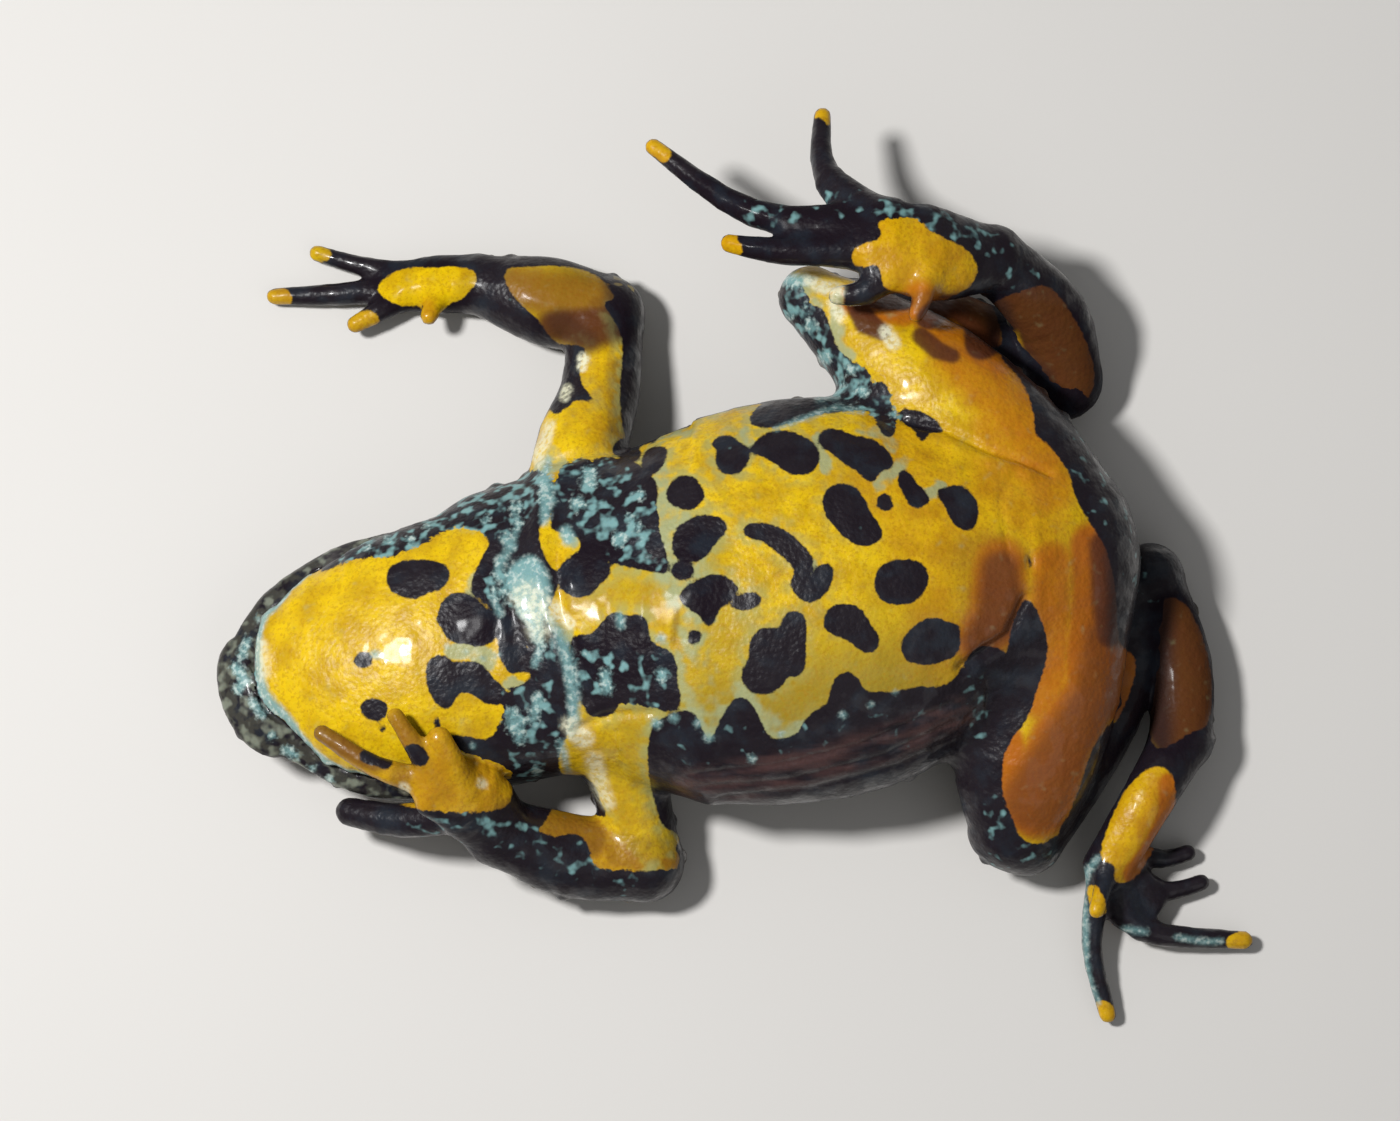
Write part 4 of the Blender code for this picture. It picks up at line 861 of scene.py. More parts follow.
# Folds of the skin: height, half width, and the line they follow in steps.
folds = [
    (0.12, 0.30, [(546, 470), (538, 530), (540, 590), (553, 640), (567, 690), (572, 735)]),
    (-0.09, 0.20, [(564, 500), (556, 560), (560, 610), (580, 660), (588, 700)]),
    (-0.08, 0.26, [(520, 520), (508, 590), (518, 650), (540, 720)]),
    (-0.14, 0.10, [(903, 420), (946, 430), (986, 449), (1023, 461), (1050, 473)]),
    (0.06, 0.18, [(905, 432), (946, 442), (986, 460), (1030, 474)]),
    (-0.10, 0.16, [(1031, 556), (1031, 566)]),
    (-0.05, 0.12, [(1010, 560), (1000, 500), (1015, 470)]),
    (-0.18, 0.18, [(1026, 598), (1010, 636), (990, 648), (962, 668)]),
    (-0.06, 0.08, [(690, 775), (780, 765), (860, 745), (950, 705)]),
    (-0.06, 0.08, [(700, 788), (790, 780), (880, 757), (955, 722)]),
    (-0.06, 0.08, [(720, 798), (810, 789), (900, 765), (955, 738)]),
    (-0.12, 0.14, [(552, 462), (590, 452), (640, 448)]),
    (-0.12, 0.14, [(580, 728), (605, 716), (652, 712)]),
    (-0.05, 0.20, [(497, 610), (489, 660), (492, 720), (505, 760)]),
]
markReach = 24  # steps beyond a mark within which its edge is followed
softReach = 40
areaGrow = 0.035  # makes up for the corners that are cut off the areas
nowhere = -3.0  # a value that is far outside any mark
mouthMarks = {
    "lipFacing": -0.5,  # how far round the skull's skin shows the lip's colour
    "lipInkFacing": -0.3,
    "lipInk": 0.25,
    "seamNear": 0.3,
    "seamDark": 0.14,
    "rimWide": 0.58,
    "middle": 660,  # in steps, as the next three: which of the two ends of the chin counts
    "frontAbove": 315,
    "frontBelow": 410,
    "frontFade": 15,
    "jawSlope": -0.5,
    "edgeFacing": 0.13,  # where the belly's colours end at the sides, and how fast
    "edgeSlope": 1.2,
    "samples": 260,  # along the seam
}
haloSpan = (560, 640, 700, 900)  # steps from the left: none, full, full and none
backSpan = (-0.05, 0.22)  # how far the skin is turned away where the back's colours set in
wart = {
    "count": 420,
    "tries": 12,  # for each of them
    "small": 0.16,  # radius
    "large": 0.36,
    "height": 0.34,  # share of the radius
    "gap": 0.12,
    "backFrom": 0.35,
    "offFloor": 0.12,
    "top": (0.45, 0.9),  # share of the height over which the black tip sets in
    "none": ("leftHand", "rightHand", "leftFoot", "rightFoot"),
    "seed": 11,
}
grain = {
    "belly": 0.014,
    "bellySize": 0.26,
    "back": 0.030,
    "backSize": 0.34,
    "lattice": 32,  # cells before the noise repeats
    "seed": 5,
}
foldFade = {"reach": 6, "facing": 0.3}  # half widths, and how far round the sides they go
softTurns = {"facing": 6, "ink": 2, "pale": 1, "lip": 3, "halo": 2}
# The parts of the body that are marked apart: the ground's tone and what each is made of.
ground = {
    "body": ("gold",),
    "leftLowerArm": ("black", "leftForearm", "leftHand"),
    "rightLowerArm": ("gold", "rightForearm", "rightHand"),
    "shanks": ("black", "leftShank", "rightShank"),
    "leftFoot": ("black", "leftTarsus", "leftFoot"),
    "rightFoot": ("black", "rightTarsus", "rightFoot"),
}
groundTint = {
    "leftLowerArm": {"brownAndShade": 0.12},
    "rightLowerArm": {"orangeAndShade": 0.40, "brownAndShade": 0.24},
    "leftFoot": {"orangeAndShade": 0.38, "brownAndShade": 0.08},
    "rightFoot": {"orangeAndShade": 0.35},
}


# The way from the aim to the camera, and where it stands.
def standpoint():
    away = np.array((0.0, -math.sin(view["tilt"]), math.cos(view["tilt"])))
    return away, np.array(view["aim"]) + away * view["distance"]


# Where the camera sees each point, in steps, and the way from the point to it.
def seenFrom(places):
    away, stand = standpoint()
    rise = np.array((0.0, math.cos(view["tilt"]), math.sin(view["tilt"])))
    offset = places - stand
    scale = view["distance"] / view["step"] / -(offset @ away)
    x = view["corner"][0] + offset[:, 0] * scale
    y = view["corner"][1] - (offset @ rise) * scale
    return x, y, -offset / np.linalg.norm(offset, axis=1, keepdims=True)


def cutCorners(outline):
    rows = np.array(outline, dtype=float)
    for turn in range(2):
        ahead = np.roll(rows, -1, axis=0)
        rows = np.stack([0.75 * rows + 0.25 * ahead, 0.25 * rows + 0.75 * ahead], axis=1).reshape(-1, 2)
    return rows


def areaDistance(x, y, outline):
    rows = cutCorners(outline)
    best = np.full(len(x), 1e9)
    inside = np.zeros(len(x), dtype=bool)
    for (ax, ay), (bx, by) in zip(rows, np.roll(rows, -1, axis=0)):
        ex, ey = bx - ax, by - ay
        wx, wy = x - ax, y - ay
        t = np.clip((wx * ex + wy * ey) / (ex * ex + ey * ey + 1e-9), 0, 1)
        best = np.minimum(best, (wx - ex * t) ** 2 + (wy - ey * t) ** 2)
        inside ^= ((ay > y) != (by > y)) & (x < ex * (y - ay) / (ey if ey else 1e-9) + ax)
    return np.where(inside, -np.sqrt(best), np.sqrt(best))


def lineDistance(x, y, rounds):
    rows = list(rounds)
    if len(rows) == 1:
        rows = rows * 2
    best = np.full(len(x), 1e9)
    for (ax, ay, ar), (bx, by, br) in zip(rows, rows[1:]):
        ex, ey = bx - ax, by - ay
        t = np.clip(((x - ax) * ex + (y - ay) * ey) / (ex * ex + ey * ey + 1e-9), 0, 1)
        gap = np.sqrt((x - ax - ex * t) ** 2 + (y - ay - ey * t) ** 2) - (ar + (br - ar) * t)
        best = np.minimum(best, gap)
    return best


def closeTo(x, y, rows, reach):
    row = np.array([point[:2] for point in rows], dtype=float)
    low, high = row.min(0) - reach, row.max(0) + reach
    return np.flatnonzero((x > low[0]) & (x < high[0]) & (y > low[1]) & (y < high[1]))


# Smooth random values between -1 and 1 over a lattice of the given spacing.
def latticeNoise(places, spacing, seed):
    size = grain["lattice"]
    lattice = np.random.default_rng(seed).uniform(-1, 1, (size, size, size))
    scaled = places / spacing
    base = np.floor(scaled).astype(int)
    part = scaled - base
    part = part * part * (3 - 2 * part)
    total = np.zeros(len(places))
    for corner in range(8):
        bits = np.array([(corner >> axis) & 1 for axis in range(3)])
        weight = np.prod(np.where(bits, part, 1 - part), axis=1)
        at = (base + bits) % size
        total += weight * lattice[at[:, 0], at[:, 1], at[:, 2]]
    return total


def pointNormals(places, faces):
    a = places[faces[:, 2]] - places[faces[:, 0]]
    b = places[faces[:, 3]] - places[faces[:, 1]]
    flat = np.cross(a, b)
    total = np.zeros_like(places)
    for axis in range(3):
        for corner in range(4):
            total[:, axis] += np.bincount(faces[:, corner], flat[:, axis], len(places))
    return total / np.maximum(np.linalg.norm(total, axis=1, keepdims=True), 1e-12)


ends = np.concatenate([quads[:, [corner, (corner + 1) % 4]] for corner in range(4)]).T
counts = np.bincount(ends[0], minlength=len(points)) + np.bincount(ends[1], minlength=len(points))
normals = pointNormals(points, quads)
seenX, seenY, toward = seenFrom(points)
facing = (normals * toward).sum(1)
groupNames = list(ground)
groupOf = {part: name for name, (tone, *parts) in ground.items() for part in parts}
groups = np.array([groupNames.index(groupOf.get(name, "body")) for name in owners])[pointOwner]
isSkull = pointOwner == owners.index("skull")
isJaw = pointOwner == owners.index("jaw")


def inGroup(name):
    return groups == groupNames.index(name)


# Evens values out over the neighbouring points of the skin.
def soften(values, turns):
    first, second = ends
    for turn in range(turns):
        total = np.bincount(first, values[second], len(values))
        total = total + np.bincount(second, values[first], len(values))
        values = 0.5 * values + 0.5 * (total / counts)
    return values


# How deep each point lies in the black, and in the pale flecks over it.
def paintMarks():
    grounds = [nowhere if tone == "gold" else -nowhere for tone, *parts in ground.values()]
    ink = np.array(grounds)[groups]
    pale = np.full(len(points), nowhere)
    for name, marks in markings.items():
        mine = inGroup(name)
        for tone, rows in marks:
            near = closeTo(seenX, seenY, rows, markReach)
            near = near[mine[near]]
            measure = areaDistance if len(rows[0]) == 2 else lineDistance
            gap = measure(seenX[near], seenY[near], rows) * view["step"]
            if tone == "gold":
                ink[near] = np.minimum(ink[near], gap)
            elif tone == "pale":
                pale[near] = np.maximum(pale[near], -gap)
            else:
                ink[near] = np.maximum(ink[near], areaGrow - gap)
            if tone == "black":
                pale[near] = np.minimum(pale[near], gap)
    for limb in ("leftHand", "rightHand", "leftFoot", "rightFoot"):
        mine = np.flatnonzero(inGroup(groupOf[limb]))
        for index, digit in enumerate(digits[limb]):
            if (limb, index) in digits["darkTips"]:
                continue
            gap = np.linalg.norm(points[mine] - np.array(digit[2]), axis=1) - digits["tipReach"]
            ink[mine] = np.minimum(ink[mine], gap)
    for rows in paleSpotsAndGlints:
        near = closeTo(seenX, seenY, rows, markReach)
        gap = lineDistance(seenX[near], seenY[near], rows) * view["step"]
        pale[near] = np.maximum(pale[near], -gap)
    return ink, pale


def paintSoft(name):
    layer = np.zeros(len(points))
    for strength, feather, rows, *only in softLayers[name]:
        near = closeTo(seenX, seenY, rows, feather + softReach)
        for group in only:
            near = near[inGroup(group)[near]]
        gap = lineDistance(seenX[near], seenY[near], rows)
        layer[near] = np.maximum(layer[near], strength * (1 - softStep(gap, 0, feather)))
    for group, tints in groundTint.items():
        if name in tints:
            layer = np.where(inGroup(group), np.maximum(layer, tints[name]), layer)
    return layer


# The black of the seam, the lip and the body's sides, and the pale rim along the chin.
def paintMouth(ink, pale):
    seamGap = np.full(len(points), growth["beyond"])
    head = np.flatnonzero(isSkull | isJaw)
    for place in smoothPath(seam, mouthMarks["samples"]):
        seamGap[head] = np.minimum(seamGap[head], np.linalg.norm(points[head] - place, axis=1))
    lip = np.where(isSkull & (facing > mouthMarks["lipFacing"]), 1.0, 0.0)
    above = seenY < mouthMarks["middle"]
    frontEnd = np.where(above, mouthMarks["frontAbove"], mouthMarks["frontBelow"])
    inFront = softStep(frontEnd - seenX, -mouthMarks["frontFade"], mouthMarks["frontFade"]) > 0.5
    edge = (mouthMarks["edgeFacing"] - facing) * mouthMarks["edgeSlope"]
    ink = np.maximum(ink, np.where(isJaw & inFront, seamGap * mouthMarks["jawSlope"], edge))
    lipInk = np.maximum(ink, mouthMarks["lipInk"])
    ink = np.where(isSkull & (facing > mouthMarks["lipInkFacing"]), lipInk, ink)
    seamInk = np.maximum(ink, mouthMarks["seamDark"] - seamGap)
    ink = np.where(seamGap < mouthMarks["seamNear"], seamInk, ink)
    onChin = isJaw & (seamGap > mouthMarks["seamDark"])
    rim = mouthMarks["rimWide"] - seamGap + np.where(onChin, 0, nowhere)
    pale = np.maximum(pale, np.where(inFront, rim, nowhere))
    return (soften(ink, softTurns["ink"]), soften(pale, softTurns["pale"]),
            soften(lip, softTurns["lip"]))


def foldHeights():
    height = np.zeros(len(points))
    body = inGroup("body")
    for rise, half, rows in folds:
        near = closeTo(seenX, seenY, rows, foldFade["reach"] * half / view["step"])
        near = near[body[near]]
        gap = lineDistance(seenX[near], seenY[near], [(x, y, 0) for x, y in rows]) * view["step"]
        height[near] += rise * np.exp(-(gap / half) ** 2) * softStep(facing[near], 0.0, foldFade["facing"])
    return height


# Warts stand on the back, apart from each other and off the floor.
def wartHeights():
    draw = np.random.default_rng(wart["seed"])
    height = np.zeros(len(points))
    tops = np.zeros(len(points))
    smooth = np.isin(pointOwner, [owners.index(name) for name in wart["none"]])
    able = np.flatnonzero((back > wart["backFrom"]) & (points[:, 2] > wart["offFloor"]) & ~smooth)
    placed = []
    for index in draw.permutation(able)[: wart["count"] * wart["tries"]]:
        radius = draw.uniform(wart["small"], wart["large"])
        place = points[index]
        if any(np.linalg.norm(place - other) < radius + size + wart["gap"] for other, size in placed):
            continue
        placed.append((place, radius))
        if len(placed) >= wart["count"]:
            break
    for place, radius in placed:
        near = np.flatnonzero(np.abs(points - place).max(1) < radius)
        gap = np.linalg.norm(points[near] - place, axis=1) / radius
        bump = np.clip(1 - gap * gap, 0, 1) ** 2
        height[near] = np.maximum(height[near], bump * radius * wart["height"])
        tops[near] = np.maximum(tops[near], softStep(bump, *wart["top"]))
    print(f"skin: {len(placed)} warts")
    return height, tops


def grainHeights():
    belly = latticeNoise(points, grain["bellySize"], grain["seed"]) * grain["belly"]
    rough = latticeNoise(points, grain["backSize"], grain["seed"] + 1) * grain["back"]
    return belly * (1 - back) + rough * back


print("skin: marking")
ink, pale = paintMarks()
layers = {name: paintSoft(name) for name in softLayers}
facing = soften(facing, softTurns["facing"])
back = softStep(-facing, *backSpan)
ink, pale, lip = paintMouth(ink, pale)
start, full, fade, end = haloSpan
halo = softStep(-seenX, -end, -fade) * softStep(seenX, start, full)
halo = soften(np.where(inGroup("body"), halo, 0.0), softTurns["halo"])
layers["speck"] = np.maximum(layers["speck"], lip)
wartRise, wartTop = wartHeights()
rise = foldHeights() + wartRise + grainHeights()
for side in (1, -1):
    place = eyeFrame(side)[0]
    rise *= softStep(np.linalg.norm(points - place, axis=1), *eye["smooth"])
points = points + normals * rise[:, None]
points[:, 2] = np.maximum(points[:, 2], 0.0)

low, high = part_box("left_eye")
homeShift = np.array((low + high) / 2) / millimetre - besideHead(eye["midpoint"], eye["offset"], 1)
print("skin: laid", [round(float(value), 3) for value in homeShift], "mm from where it was grown")


def putInScene(name, mesh, attributes):
    for label, values in attributes.items():
        layer = mesh.attributes.new(label, "FLOAT", "POINT")
        layer.data.foreach_set("value", values.astype(np.float32))
    mesh.shade_smooth()
    item = bpy.data.objects.new(name, mesh)
    bpy.context.scene.collection.objects.link(item)
    return item


def makeSkin():
    mesh = bpy.data.meshes.new("toad_skin")
    mesh.vertices.add(len(points))
    mesh.vertices.foreach_set("co", ((points + homeShift) * millimetre).astype(np.float32).ravel())
    mesh.loops.add(quads.size)
    mesh.loops.foreach_set("vertex_index", quads.astype(np.int32).ravel())
    mesh.polygons.add(len(quads))
    mesh.polygons.foreach_set("loop_start", np.arange(0, quads.size, 4, dtype=np.int32))
    mesh.update(calc_edges=True)
    mesh.validate()
    marks = {"ink": ink, "pale": pale, "back": back, "halo": halo, "lip": lip, "wartTop": wartTop}
    return putInScene("toad_skin", mesh, {**marks, **layers})


# A material and the nodes that give its colours, at places in millimetres.
class Finish:
    def __init__(self, name):
        self.material = bpy.data.materials.new(name)
        self.material.use_nodes = True
        self.tree = self.material.node_tree
        self.shader = self.tree.nodes["Principled BSDF"]
        where = self.add("ShaderNodeTexCoord").outputs["Object"]
        inputs = {0: where, "Scale": 1 / millimetre}
        self.places = self.add("ShaderNodeVectorMath", inputs, operation="SCALE").outputs[0]

    def fill(self, node, inputs):
        for name, value in inputs.items():
            if isinstance(value, bpy.types.NodeSocket):
                self.tree.links.new(value, node.inputs[name])
            else:
                node.inputs[name].default_value = value

    def add(self, kind, inputs=None, **settings):
        node = self.tree.nodes.new(kind)
        for name, value in settings.items():
            setattr(node, name, value)
        self.fill(node, inputs or {})
        return node

    def mix(self, share, first, second):
        inputs = {0: share, 6: first, 7: second}  # the sockets for colours
        return self.add("ShaderNodeMix", inputs, data_type="RGBA").outputs[2]

    def plus(self, first, second):
        return self.add("ShaderNodeMath", {0: first, 1: second}, operation="ADD").outputs[0]

    def times(self, first, second):
        return self.add("ShaderNodeMath", {0: first, 1: second}, operation="MULTIPLY").outputs[0]

    def ramp(self, value, low, high, least=0.0, most=1.0):
        inputs = {"Value": value, "From Min": low, "From Max": high, "To Min": least, "To Max": most}
        return self.add("ShaderNodeMapRange", inputs, interpolation_type="SMOOTHSTEP").outputs[0]

    def share(self, name, least, most):
        return self.ramp(self.read(name), 0.0, 1.0, least, most)

    def read(self, name):
        return self.add("ShaderNodeAttribute", attribute_name=name).outputs["Fac"]

    def speckle(self, size, detail=2.0, roughness=0.5, places=None):
        places = self.places if places is None else places
        inputs = {"Vector": places, "Scale": 1 / size, "Detail": detail, "Roughness": roughness}
        return self.add("ShaderNodeTexNoise", inputs).outputs["Fac"]


skinFinish = {
    "gold": (0.76, 0.50, 0.003, 1),
    "goldDeep": (0.56, 0.33, 0.003, 1),
    "orangeAndShade": (0.45, 0.105, 0.006, 1),
    "shade": (0.36, 0.245, 0.018, 1),
    "brownAndShade": (0.090, 0.026, 0.012, 1),
    "haze": (0.36, 0.38, 0.19, 1),
    "dark": (0.012, 0.008, 0.012, 1),
    "darkBlue": (0.016, 0.019, 0.027, 1),
    "pale": (0.20, 0.38, 0.38, 1),
    "paleBright": (0.50, 0.62, 0.58, 1),
    "lip": (0.046, 0.044, 0.036, 1),
    "lipPale": (0.20, 0.215, 0.165, 1),
    "rose": (0.075, 0.038, 0.036, 1),
    "darkAndShadow": (0.030, 0.017, 0.016, 1),
    "paintedHighlight": (0.82, 0.80, 0.58, 1),
    "grain": (0.40, 0.20, 0.004, 1),
    "halo": (0.38, 0.38, 0.13, 1),
    "back": (0.105, 0.085, 0.050, 1),
    "backDark": (0.030, 0.026, 0.020, 1),
    "wartTop": (0.012, 0.010, 0.010, 1),
    # Speckles: size, detail and roughness.
    "coarse": (0.9, 3.0),
    "fine": (0.16, 2.0),
    "tiny": (0.07, 1.0),
    "patches": (0.36, 1.4, 0.45),
    "grains": (0.11, 2.0, 0.6),
    "lipPatches": (0.42, 2.0),
    "streaks": (1.0, 3.0),
    "streakTurn": (0, 0, 0.22),
    "streakStretch": (0.5, 2.0, 2.0),
    "wetPatches": (0.7, 3.0),
    # Ramps: from and to, then what they give there. A share has only what it gives.
    "goldRamp": (0.35, 0.7),
    "cloudRamp": (0.42, 0.64),
    "cloudShare": (0.12, 0.40),
    "grainRamp": (0.48, 0.66, 0.0, 0.42),
    "orangeAndShadeShare": (0.0, 0.9),
    "brownAndShadeShare": (0.0, 0.96),
    "haloNear": (-0.50, 0.0, 0.0, 0.7),
    "haloRamp": (0.36, 0.58, 0.15, 1.0),
    "hazeNear": (-0.35, -0.04, 0.55, 1.0),
    "hazeRamp": (0.0, 0.7, 0.0, 0.9),
    "hazeGrain": 1.3,
    "hazeLess": -0.80,
    "darkRamp": (0.45, 0.7),
    "lipRamp": (0.40, 0.56),
    "speckRise": 0.27,
    "speckRamp": (0.49, 0.71, 0.0, 0.95),
    "roseRamp": (0.32, 0.66),
    "ragged": (0.2, 1.2, 0.11, 0.28),
    "inkEdge": (-0.02, 0.05),
    "paleWander": 1.5,
    "paleRamp": (0.45, 0.7),
    "paleEdge": (-0.12, 0.14, 0.0, 0.92),
    "paintedHighlightRamp": (0.34, 0.58, 0.4, 1.0),
    "mottleRamp": (0.42, 0.62),
    "wetRamp": (0.46, 0.60),
    "wetPale": (-0.08, 0.10),
    "coatShare": (0.08, 0.45),
    "dullShare": (1.0, 0.1),
    "coatRoughness": 0.13,
    "roughness": 0.38,
    "specular": 0.2,
    "pebbles": 6.5,  # to the millimetre
    "pebbleSmooth": 0.6,
    "pebbleRise": -0.8,
    "tinyRise": 0.35,
    "bump": 0.35,
    "bumpDepth": 0.00006,  # metres
    "subsurface": 0.06,
    "subsurfaceRadius": (1.0, 0.45, 0.2),
    "subsurfaceScale": 0.0003,
}


def goldColour(skin, patches, coarse):
    finish = skinFinish
    gold = skin.mix(skin.ramp(coarse, *finish["goldRamp"]), finish["gold"], finish["goldDeep"])
    gold = skin.mix(skin.read("shade"), gold, finish["shade"])
    clouds = skin.ramp(patches, *finish["cloudRamp"])
    clouds = skin.times(clouds, skin.share("halo", *finish["cloudShare"]))
    gold = skin.mix(clouds, gold, finish["shade"])
    grains = skin.ramp(skin.speckle(*finish["grains"]), *finish["grainRamp"])
    gold = skin.mix(grains, gold, finish["grain"])
    # Deeper orange, partly the skin's own tone and partly painted shade.
    gold = skin.mix(skin.share("orangeAndShade", *finish["orangeAndShadeShare"]), gold, finish["orangeAndShade"])
    # Brown, partly the skin's own tone and partly painted shade.
    gold = skin.mix(skin.share("brownAndShade", *finish["brownAndShadeShare"]), gold, finish["brownAndShade"])
    halo = skin.times(skin.read("halo"), skin.ramp(skin.read("ink"), *finish["haloNear"]))
    halo = skin.times(halo, skin.ramp(patches, *finish["haloRamp"]))
    gold = skin.mix(halo, gold, finish["halo"])
    haze = skin.times(skin.read("haze"), skin.ramp(skin.read("ink"), *finish["hazeNear"]))
    hazeGrain = skin.plus(skin.times(patches, finish["hazeGrain"]), finish["hazeLess"])
    haze = skin.ramp(skin.plus(haze, hazeGrain), *finish["hazeRamp"])
    gold = skin.mix(haze, gold, finish["haze"])
    # Soft dark edges of the pattern, partly painted shadow.
    return skin.mix(skin.read("darkAndShadow"), gold, finish["darkAndShadow"])


def blackColour(skin, patches, coarse):
    finish = skinFinish
    lip = skin.read("lip")
    dark = skin.mix(skin.ramp(coarse, *finish["darkRamp"]), finish["dark"], finish["darkBlue"])
    lipShare = skin.times(lip, skin.ramp(skin.speckle(*finish["lipPatches"]), *finish["lipRamp"]))
    dark = skin.mix(lipShare, dark, finish["lip"])
    specks = skin.times(skin.plus(skin.read("speck"), -1.0), finish["speckRise"])
    specks = skin.ramp(skin.plus(patches, specks), *finish["speckRamp"])
    dark = skin.mix(specks, dark, skin.mix(lip, finish["pale"], finish["lipPale"]))
    inputs = {"Vector": skin.places, "Rotation": finish["streakTurn"], "Scale": finish["streakStretch"]}
    streaked = skin.add("ShaderNodeMapping", inputs).outputs[0]
    streaks = skin.ramp(skin.speckle(*finish["streaks"], places=streaked), *finish["roseRamp"])
    return skin.mix(skin.times(skin.read("rose"), streaks), dark, finish["rose"])


def backColour(skin, coarse):
    finish = skinFinish
    mottle = skin.mix(skin.ramp(coarse, *finish["mottleRamp"]), finish["back"], finish["backDark"])
    return skin.mix(skin.read("wartTop"), mottle, finish["wartTop"])


def pebbledRelief(skin):
    finish = skinFinish
    inputs = {"Vector": skin.places, "Scale": finish["pebbles"], "Smoothness": finish["pebbleSmooth"]}
    pebbles = skin.add("ShaderNodeTexVoronoi", inputs, feature="SMOOTH_F1").outputs["Distance"]
    tiny = skin.times(skin.speckle(*finish["tiny"]), finish["tinyRise"])
    relief = skin.plus(skin.times(pebbles, finish["pebbleRise"]), tiny)
    inputs = {"Height": relief, "Strength": finish["bump"], "Distance": finish["bumpDepth"]}
    return skin.add("ShaderNodeBump", inputs).outputs[0]


def makeSkinMaterial():
    finish = skinFinish
    skin = Finish("wet_toad_skin")
    coarse = skin.speckle(*finish["coarse"])
    fine = skin.speckle(*finish["fine"])
    patches = skin.speckle(*finish["patches"])
    ragged = skin.ramp(skin.read("speck"), *finish["ragged"])
    wander = skin.times(skin.plus(fine, -0.5), ragged)
    inkShare = skin.ramp(skin.plus(skin.read("ink"), wander), *finish["inkEdge"])
    gold = goldColour(skin, patches, coarse)
    colour = skin.mix(inkShare, gold, blackColour(skin, patches, coarse))
    paleDeep = skin.plus(skin.read("pale"), skin.times(wander, finish["paleWander"]))
    paleColour = skin.mix(skin.ramp(fine, *finish["paleRamp"]), finish["pale"], finish["paleBright"])
    colour = skin.mix(skin.ramp(paleDeep, *finish["paleEdge"]), colour, paleColour)
    # Painted highlights, broken up by fine noise, laid over the colour.
    paintedHighlight = skin.times(skin.read("paintedHighlight"), skin.ramp(fine, *finish["paintedHighlightRamp"]))
    colour = skin.mix(paintedHighlight, colour, finish["paintedHighlight"])
    colour = skin.mix(skin.read("back"), colour, backColour(skin, coarse))
    wet = skin.ramp(skin.speckle(*finish["wetPatches"]), *finish["wetRamp"])
    wet = skin.plus(wet, skin.ramp(paleDeep, *finish["wetPale"]))
    dull = skin.share("dry", *finish["dullShare"])
    skin.fill(skin.shader, {
        "Base Color": colour,
        "Normal": pebbledRelief(skin),
        "Roughness": finish["roughness"],
        "Coat Weight": skin.times(skin.ramp(wet, 0.0, 1.0, *finish["coatShare"]), dull),
        "Coat Roughness": finish["coatRoughness"],
        "Specular IOR Level": skin.times(dull, finish["specular"]),
        "Subsurface Weight": finish["subsurface"],
        "Subsurface Radius": finish["subsurfaceRadius"],
        "Subsurface Scale": finish["subsurfaceScale"],
    })
    return skin.material


toadSkin = makeSkin()
toadSkin.data.materials.append(makeSkinMaterial())
fleshNodes = [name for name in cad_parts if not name.endswith("_eye")]
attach(toadSkin, "root")
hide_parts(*fleshNodes)
print(f"skin: made, standing for {len(fleshNodes)} parts")

eyeball = {
    "across": 64,
    "along": 40,
    "cornea": 0.05,  # how far the clear front stands proud
    "corneaReach": 0.78,
    "pupilWide": 0.40,
    "pupilHigh": 0.34,
    "pupilSize": 0.62,
    "pupilSpread": 0.9,  # these four give the pupil the shape of a heart
    "pupilPoint": 0.55,
    "pupilTop": 1.1,
    "pupilRound": 0.25,
    "behind": 3.0,  # marks the back of the ball, outside every ring
}


def makeEye(name, side):
    place, look, forward, rise = eyeFrame(side)
    count, rings = eyeball["across"], eyeball["along"]
    rows = [(1, 0, 0)]
    for ring in range(1, rings):
        polar = math.pi * ring / rings
        wide = math.sin(polar)
        for turn in range(count):
            angle = 2 * math.pi * turn / count
            rows.append((math.cos(polar), wide * math.cos(angle), wide * math.sin(angle)))
    rows = np.array(rows + [(-1, 0, 0)], dtype=float)
    faces = []
    for turn in range(count):
        beside = (turn + 1) % count
        faces.append((0, 1 + turn, 1 + beside))
        for ring in range(rings - 2):
            a = 1 + ring * count + turn
            b = 1 + ring * count + beside
            faces.append((a, a + count, b + count, b))
        lastRing = 1 + (rings - 2) * count
        faces.append((len(rows) - 1, lastRing + beside, lastRing + turn))
    wide = rows[:, 1] * eye["radius"]
    high = rows[:, 2] * eye["radius"]
    spread = np.hypot(wide, high)
    inFront = rows[:, 0] > 0
    proud = eyeball["cornea"] * softStep(-spread, -eyeball["corneaReach"], 0) * inFront
    radius = eye["radius"] - eye["play"] + proud
    world = rows[:, :1] * look + rows[:, 1:2] * forward + rows[:, 2:] * rise * side
    world = place + world * radius[:, None]
    # A heart of a pupil, its point towards the mouth.
    tall = high / eyeball["pupilHigh"]
    broad = np.abs(wide) / eyeball["pupilWide"]
    heart = broad * eyeball["pupilSpread"] + tall * eyeball["pupilPoint"]
    heart = np.maximum(heart, -tall * eyeball["pupilTop"])
    pupil = heart - eyeball["pupilSize"] + eyeball["pupilRound"] * broad * broad
    mesh = bpy.data.meshes.new(name)
    mesh.from_pydata(((world + homeShift) * millimetre).tolist(), [], faces)
    marks = {"pupil": pupil, "iris": spread}
    marks = {label: np.where(inFront, value, eyeball["behind"]) for label, value in marks.items()}
    return putInScene(name, mesh, marks)


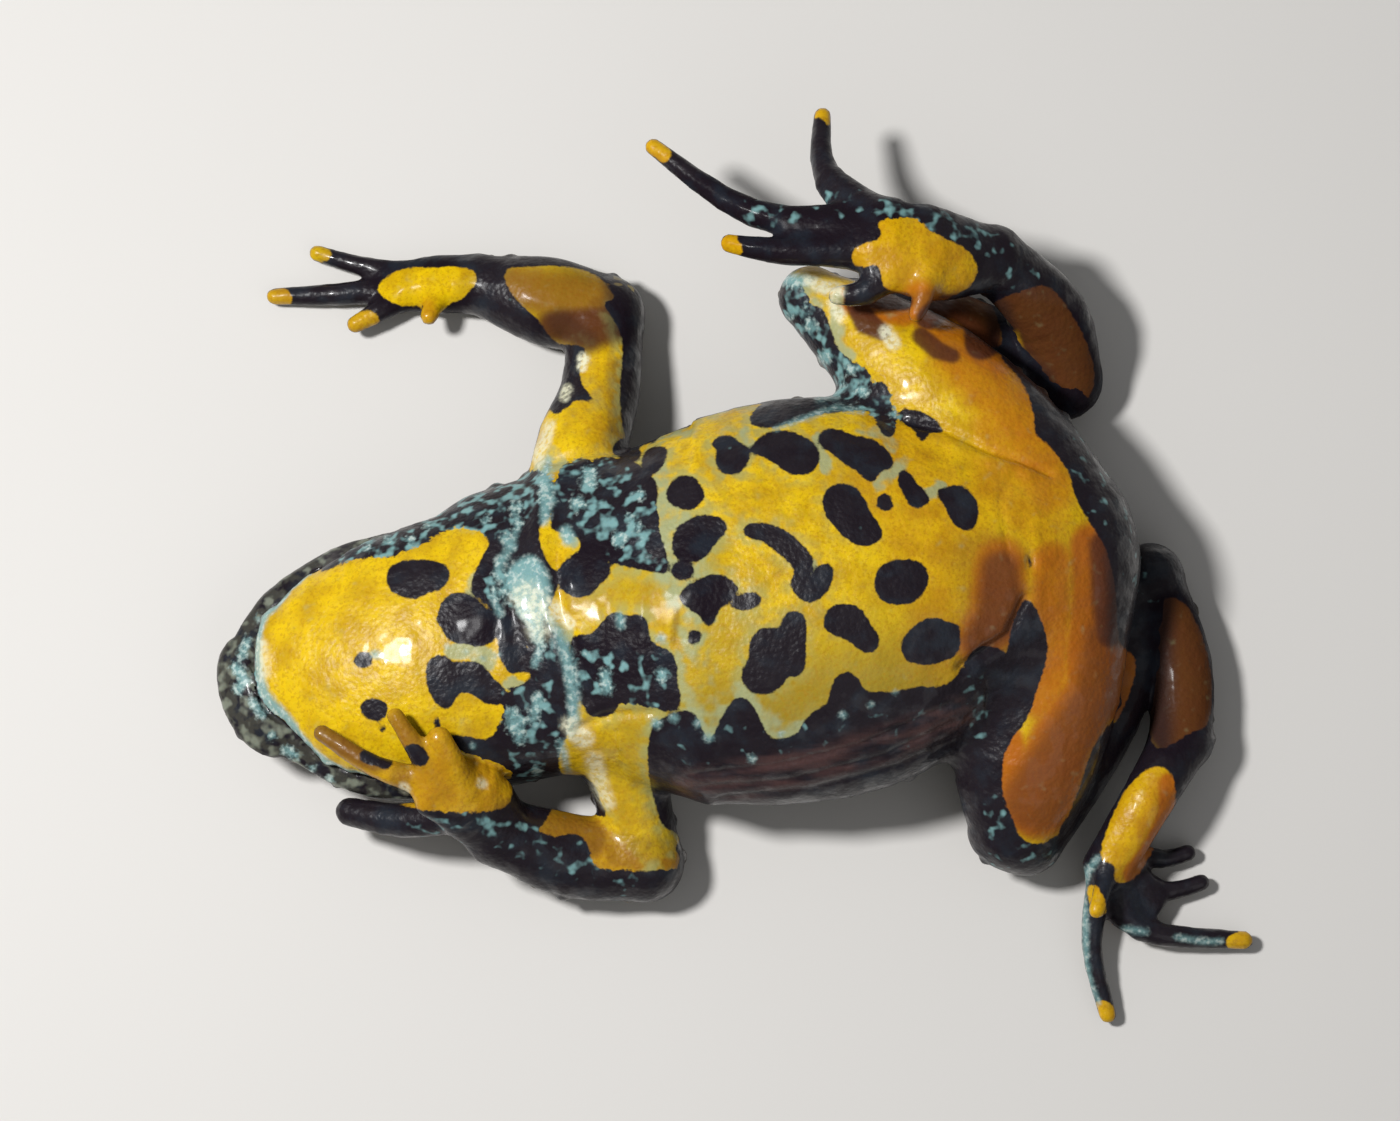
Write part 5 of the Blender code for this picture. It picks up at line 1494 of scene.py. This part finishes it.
eyeFinish = {
    "pupil": (0.004, 0.004, 0.005, 1),
    "gold": (0.55, 0.34, 0.07, 1),
    "bronze": (0.10, 0.055, 0.02, 1),
    "rim": (0.015, 0.012, 0.010, 1),
    "flecks": (0.09, 4.0, 0.65),
    "fleckRamp": (0.42, 0.60),
    "ringRamp": (0.10, 0.34, 1.0, 0.0),
    "rimRamp": (0.72, 0.90),
    "pupilRamp": (0.02, 0.10, 1.0, 0.0),
    "roughness": 0.25,
    "coatRoughness": 0.02,
}


def makeEyeMaterial():
    finish = eyeFinish
    ball = Finish("wet_eye")
    pupil = ball.read("pupil")
    flecks = ball.ramp(ball.speckle(*finish["flecks"]), *finish["fleckRamp"])
    colour = ball.mix(flecks, finish["bronze"], finish["gold"])
    colour = ball.mix(ball.ramp(pupil, *finish["ringRamp"]), colour, finish["gold"])
    colour = ball.mix(ball.ramp(ball.read("iris"), *finish["rimRamp"]), colour, finish["rim"])
    colour = ball.mix(ball.ramp(pupil, *finish["pupilRamp"]), colour, finish["pupil"])
    ball.fill(ball.shader, {
        "Base Color": colour,
        "Roughness": finish["roughness"],
        "Coat Weight": 1.0,
        "Coat Roughness": finish["coatRoughness"],
    })
    return ball.material


eyeMaterial = makeEyeMaterial()
for name, side in (("left_eye", 1), ("right_eye", -1)):
    ball = makeEye(name + "_ball", side)
    ball.data.materials.append(eyeMaterial)
    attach(ball, "root")
    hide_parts(name)
print("eyes: set")

stage = {
    "floorSize": 2.0,  # metres
    "floor": (0.70, 0.68, 0.65, 1),
    "floorShade": (0.6, 0.58, 0.55, 1),
    "clouds": (20.0, 2.0),
    "cloudRamp": (0.3, 0.7, 0.0, 0.06),
    "roughness": 0.7,
    "world": (0.95, 0.97, 1.0, 1),
    "worldStrength": 0.17,
    "keyFrom": (-0.48, 0.07, 0.87),
    "keyAway": 0.14,  # metres
    "keySize": 0.020,
    "keyPower": 0.19,
    "fillFrom": (0.5, -0.7, 0.9),
    "fillAway": 0.40,
    "fillSize": 0.35,
    "fillPower": 0.12,
    "sensor": 36.0,
    "nearest": 0.001,  # metres from the camera
}


def makeFloor():
    half = stage["floorSize"] / 2
    mesh = bpy.data.meshes.new("pale_floor")
    corners = [(-half, -half, 0), (half, -half, 0), (half, half, 0), (-half, half, 0)]
    mesh.from_pydata(corners, [], [(0, 1, 2, 3)])
    floor = bpy.data.objects.new("pale_floor", mesh)
    bpy.context.scene.collection.objects.link(floor)
    matt = Finish("matt_floor")
    clouds = matt.ramp(matt.speckle(*stage["clouds"]), *stage["cloudRamp"])
    colour = matt.mix(clouds, stage["floor"], stage["floorShade"])
    matt.fill(matt.shader, {"Base Color": colour, "Roughness": stage["roughness"]})
    mesh.materials.append(matt.material)


def lightRoom():
    world = bpy.data.worlds.new("soft_room")
    bpy.context.scene.world = world
    world.use_nodes = True
    backdrop = world.node_tree.nodes["Background"]
    backdrop.inputs["Color"].default_value = stage["world"]
    backdrop.inputs["Strength"].default_value = stage["worldStrength"]
    for name in ("key", "fill"):
        lamp = bpy.data.lights.new(name + "_light", "AREA")
        lamp.shape = "DISK"
        lamp.size = stage[name + "Size"]
        lamp.energy = stage[name + "Power"]
        item = bpy.data.objects.new(name + "_light", lamp)
        direction = Vector(stage[name + "From"])
        item.location = direction.normalized() * stage[name + "Away"]
        item.rotation_euler = direction.to_track_quat("Z", "Y").to_euler()
        bpy.context.scene.collection.objects.link(item)


def setCamera():
    lens = bpy.data.cameras.new("belly_view")
    lens.sensor_width = stage["sensor"]
    lens.lens = lens.sensor_width * view["distance"] / view["width"]
    lens.clip_start = stage["nearest"]
    camera = bpy.data.objects.new("belly_view", lens)
    away, stand = standpoint()
    camera.location = Vector((stand + homeShift) * millimetre)
    camera.rotation_euler = (view["tilt"], 0, 0)
    bpy.context.scene.collection.objects.link(camera)
    bpy.context.scene.camera = camera
    bpy.context.scene.view_settings.view_transform = "Standard"


makeFloor()
lightRoom()
setCamera()
print("stage: floor, lights and camera set")
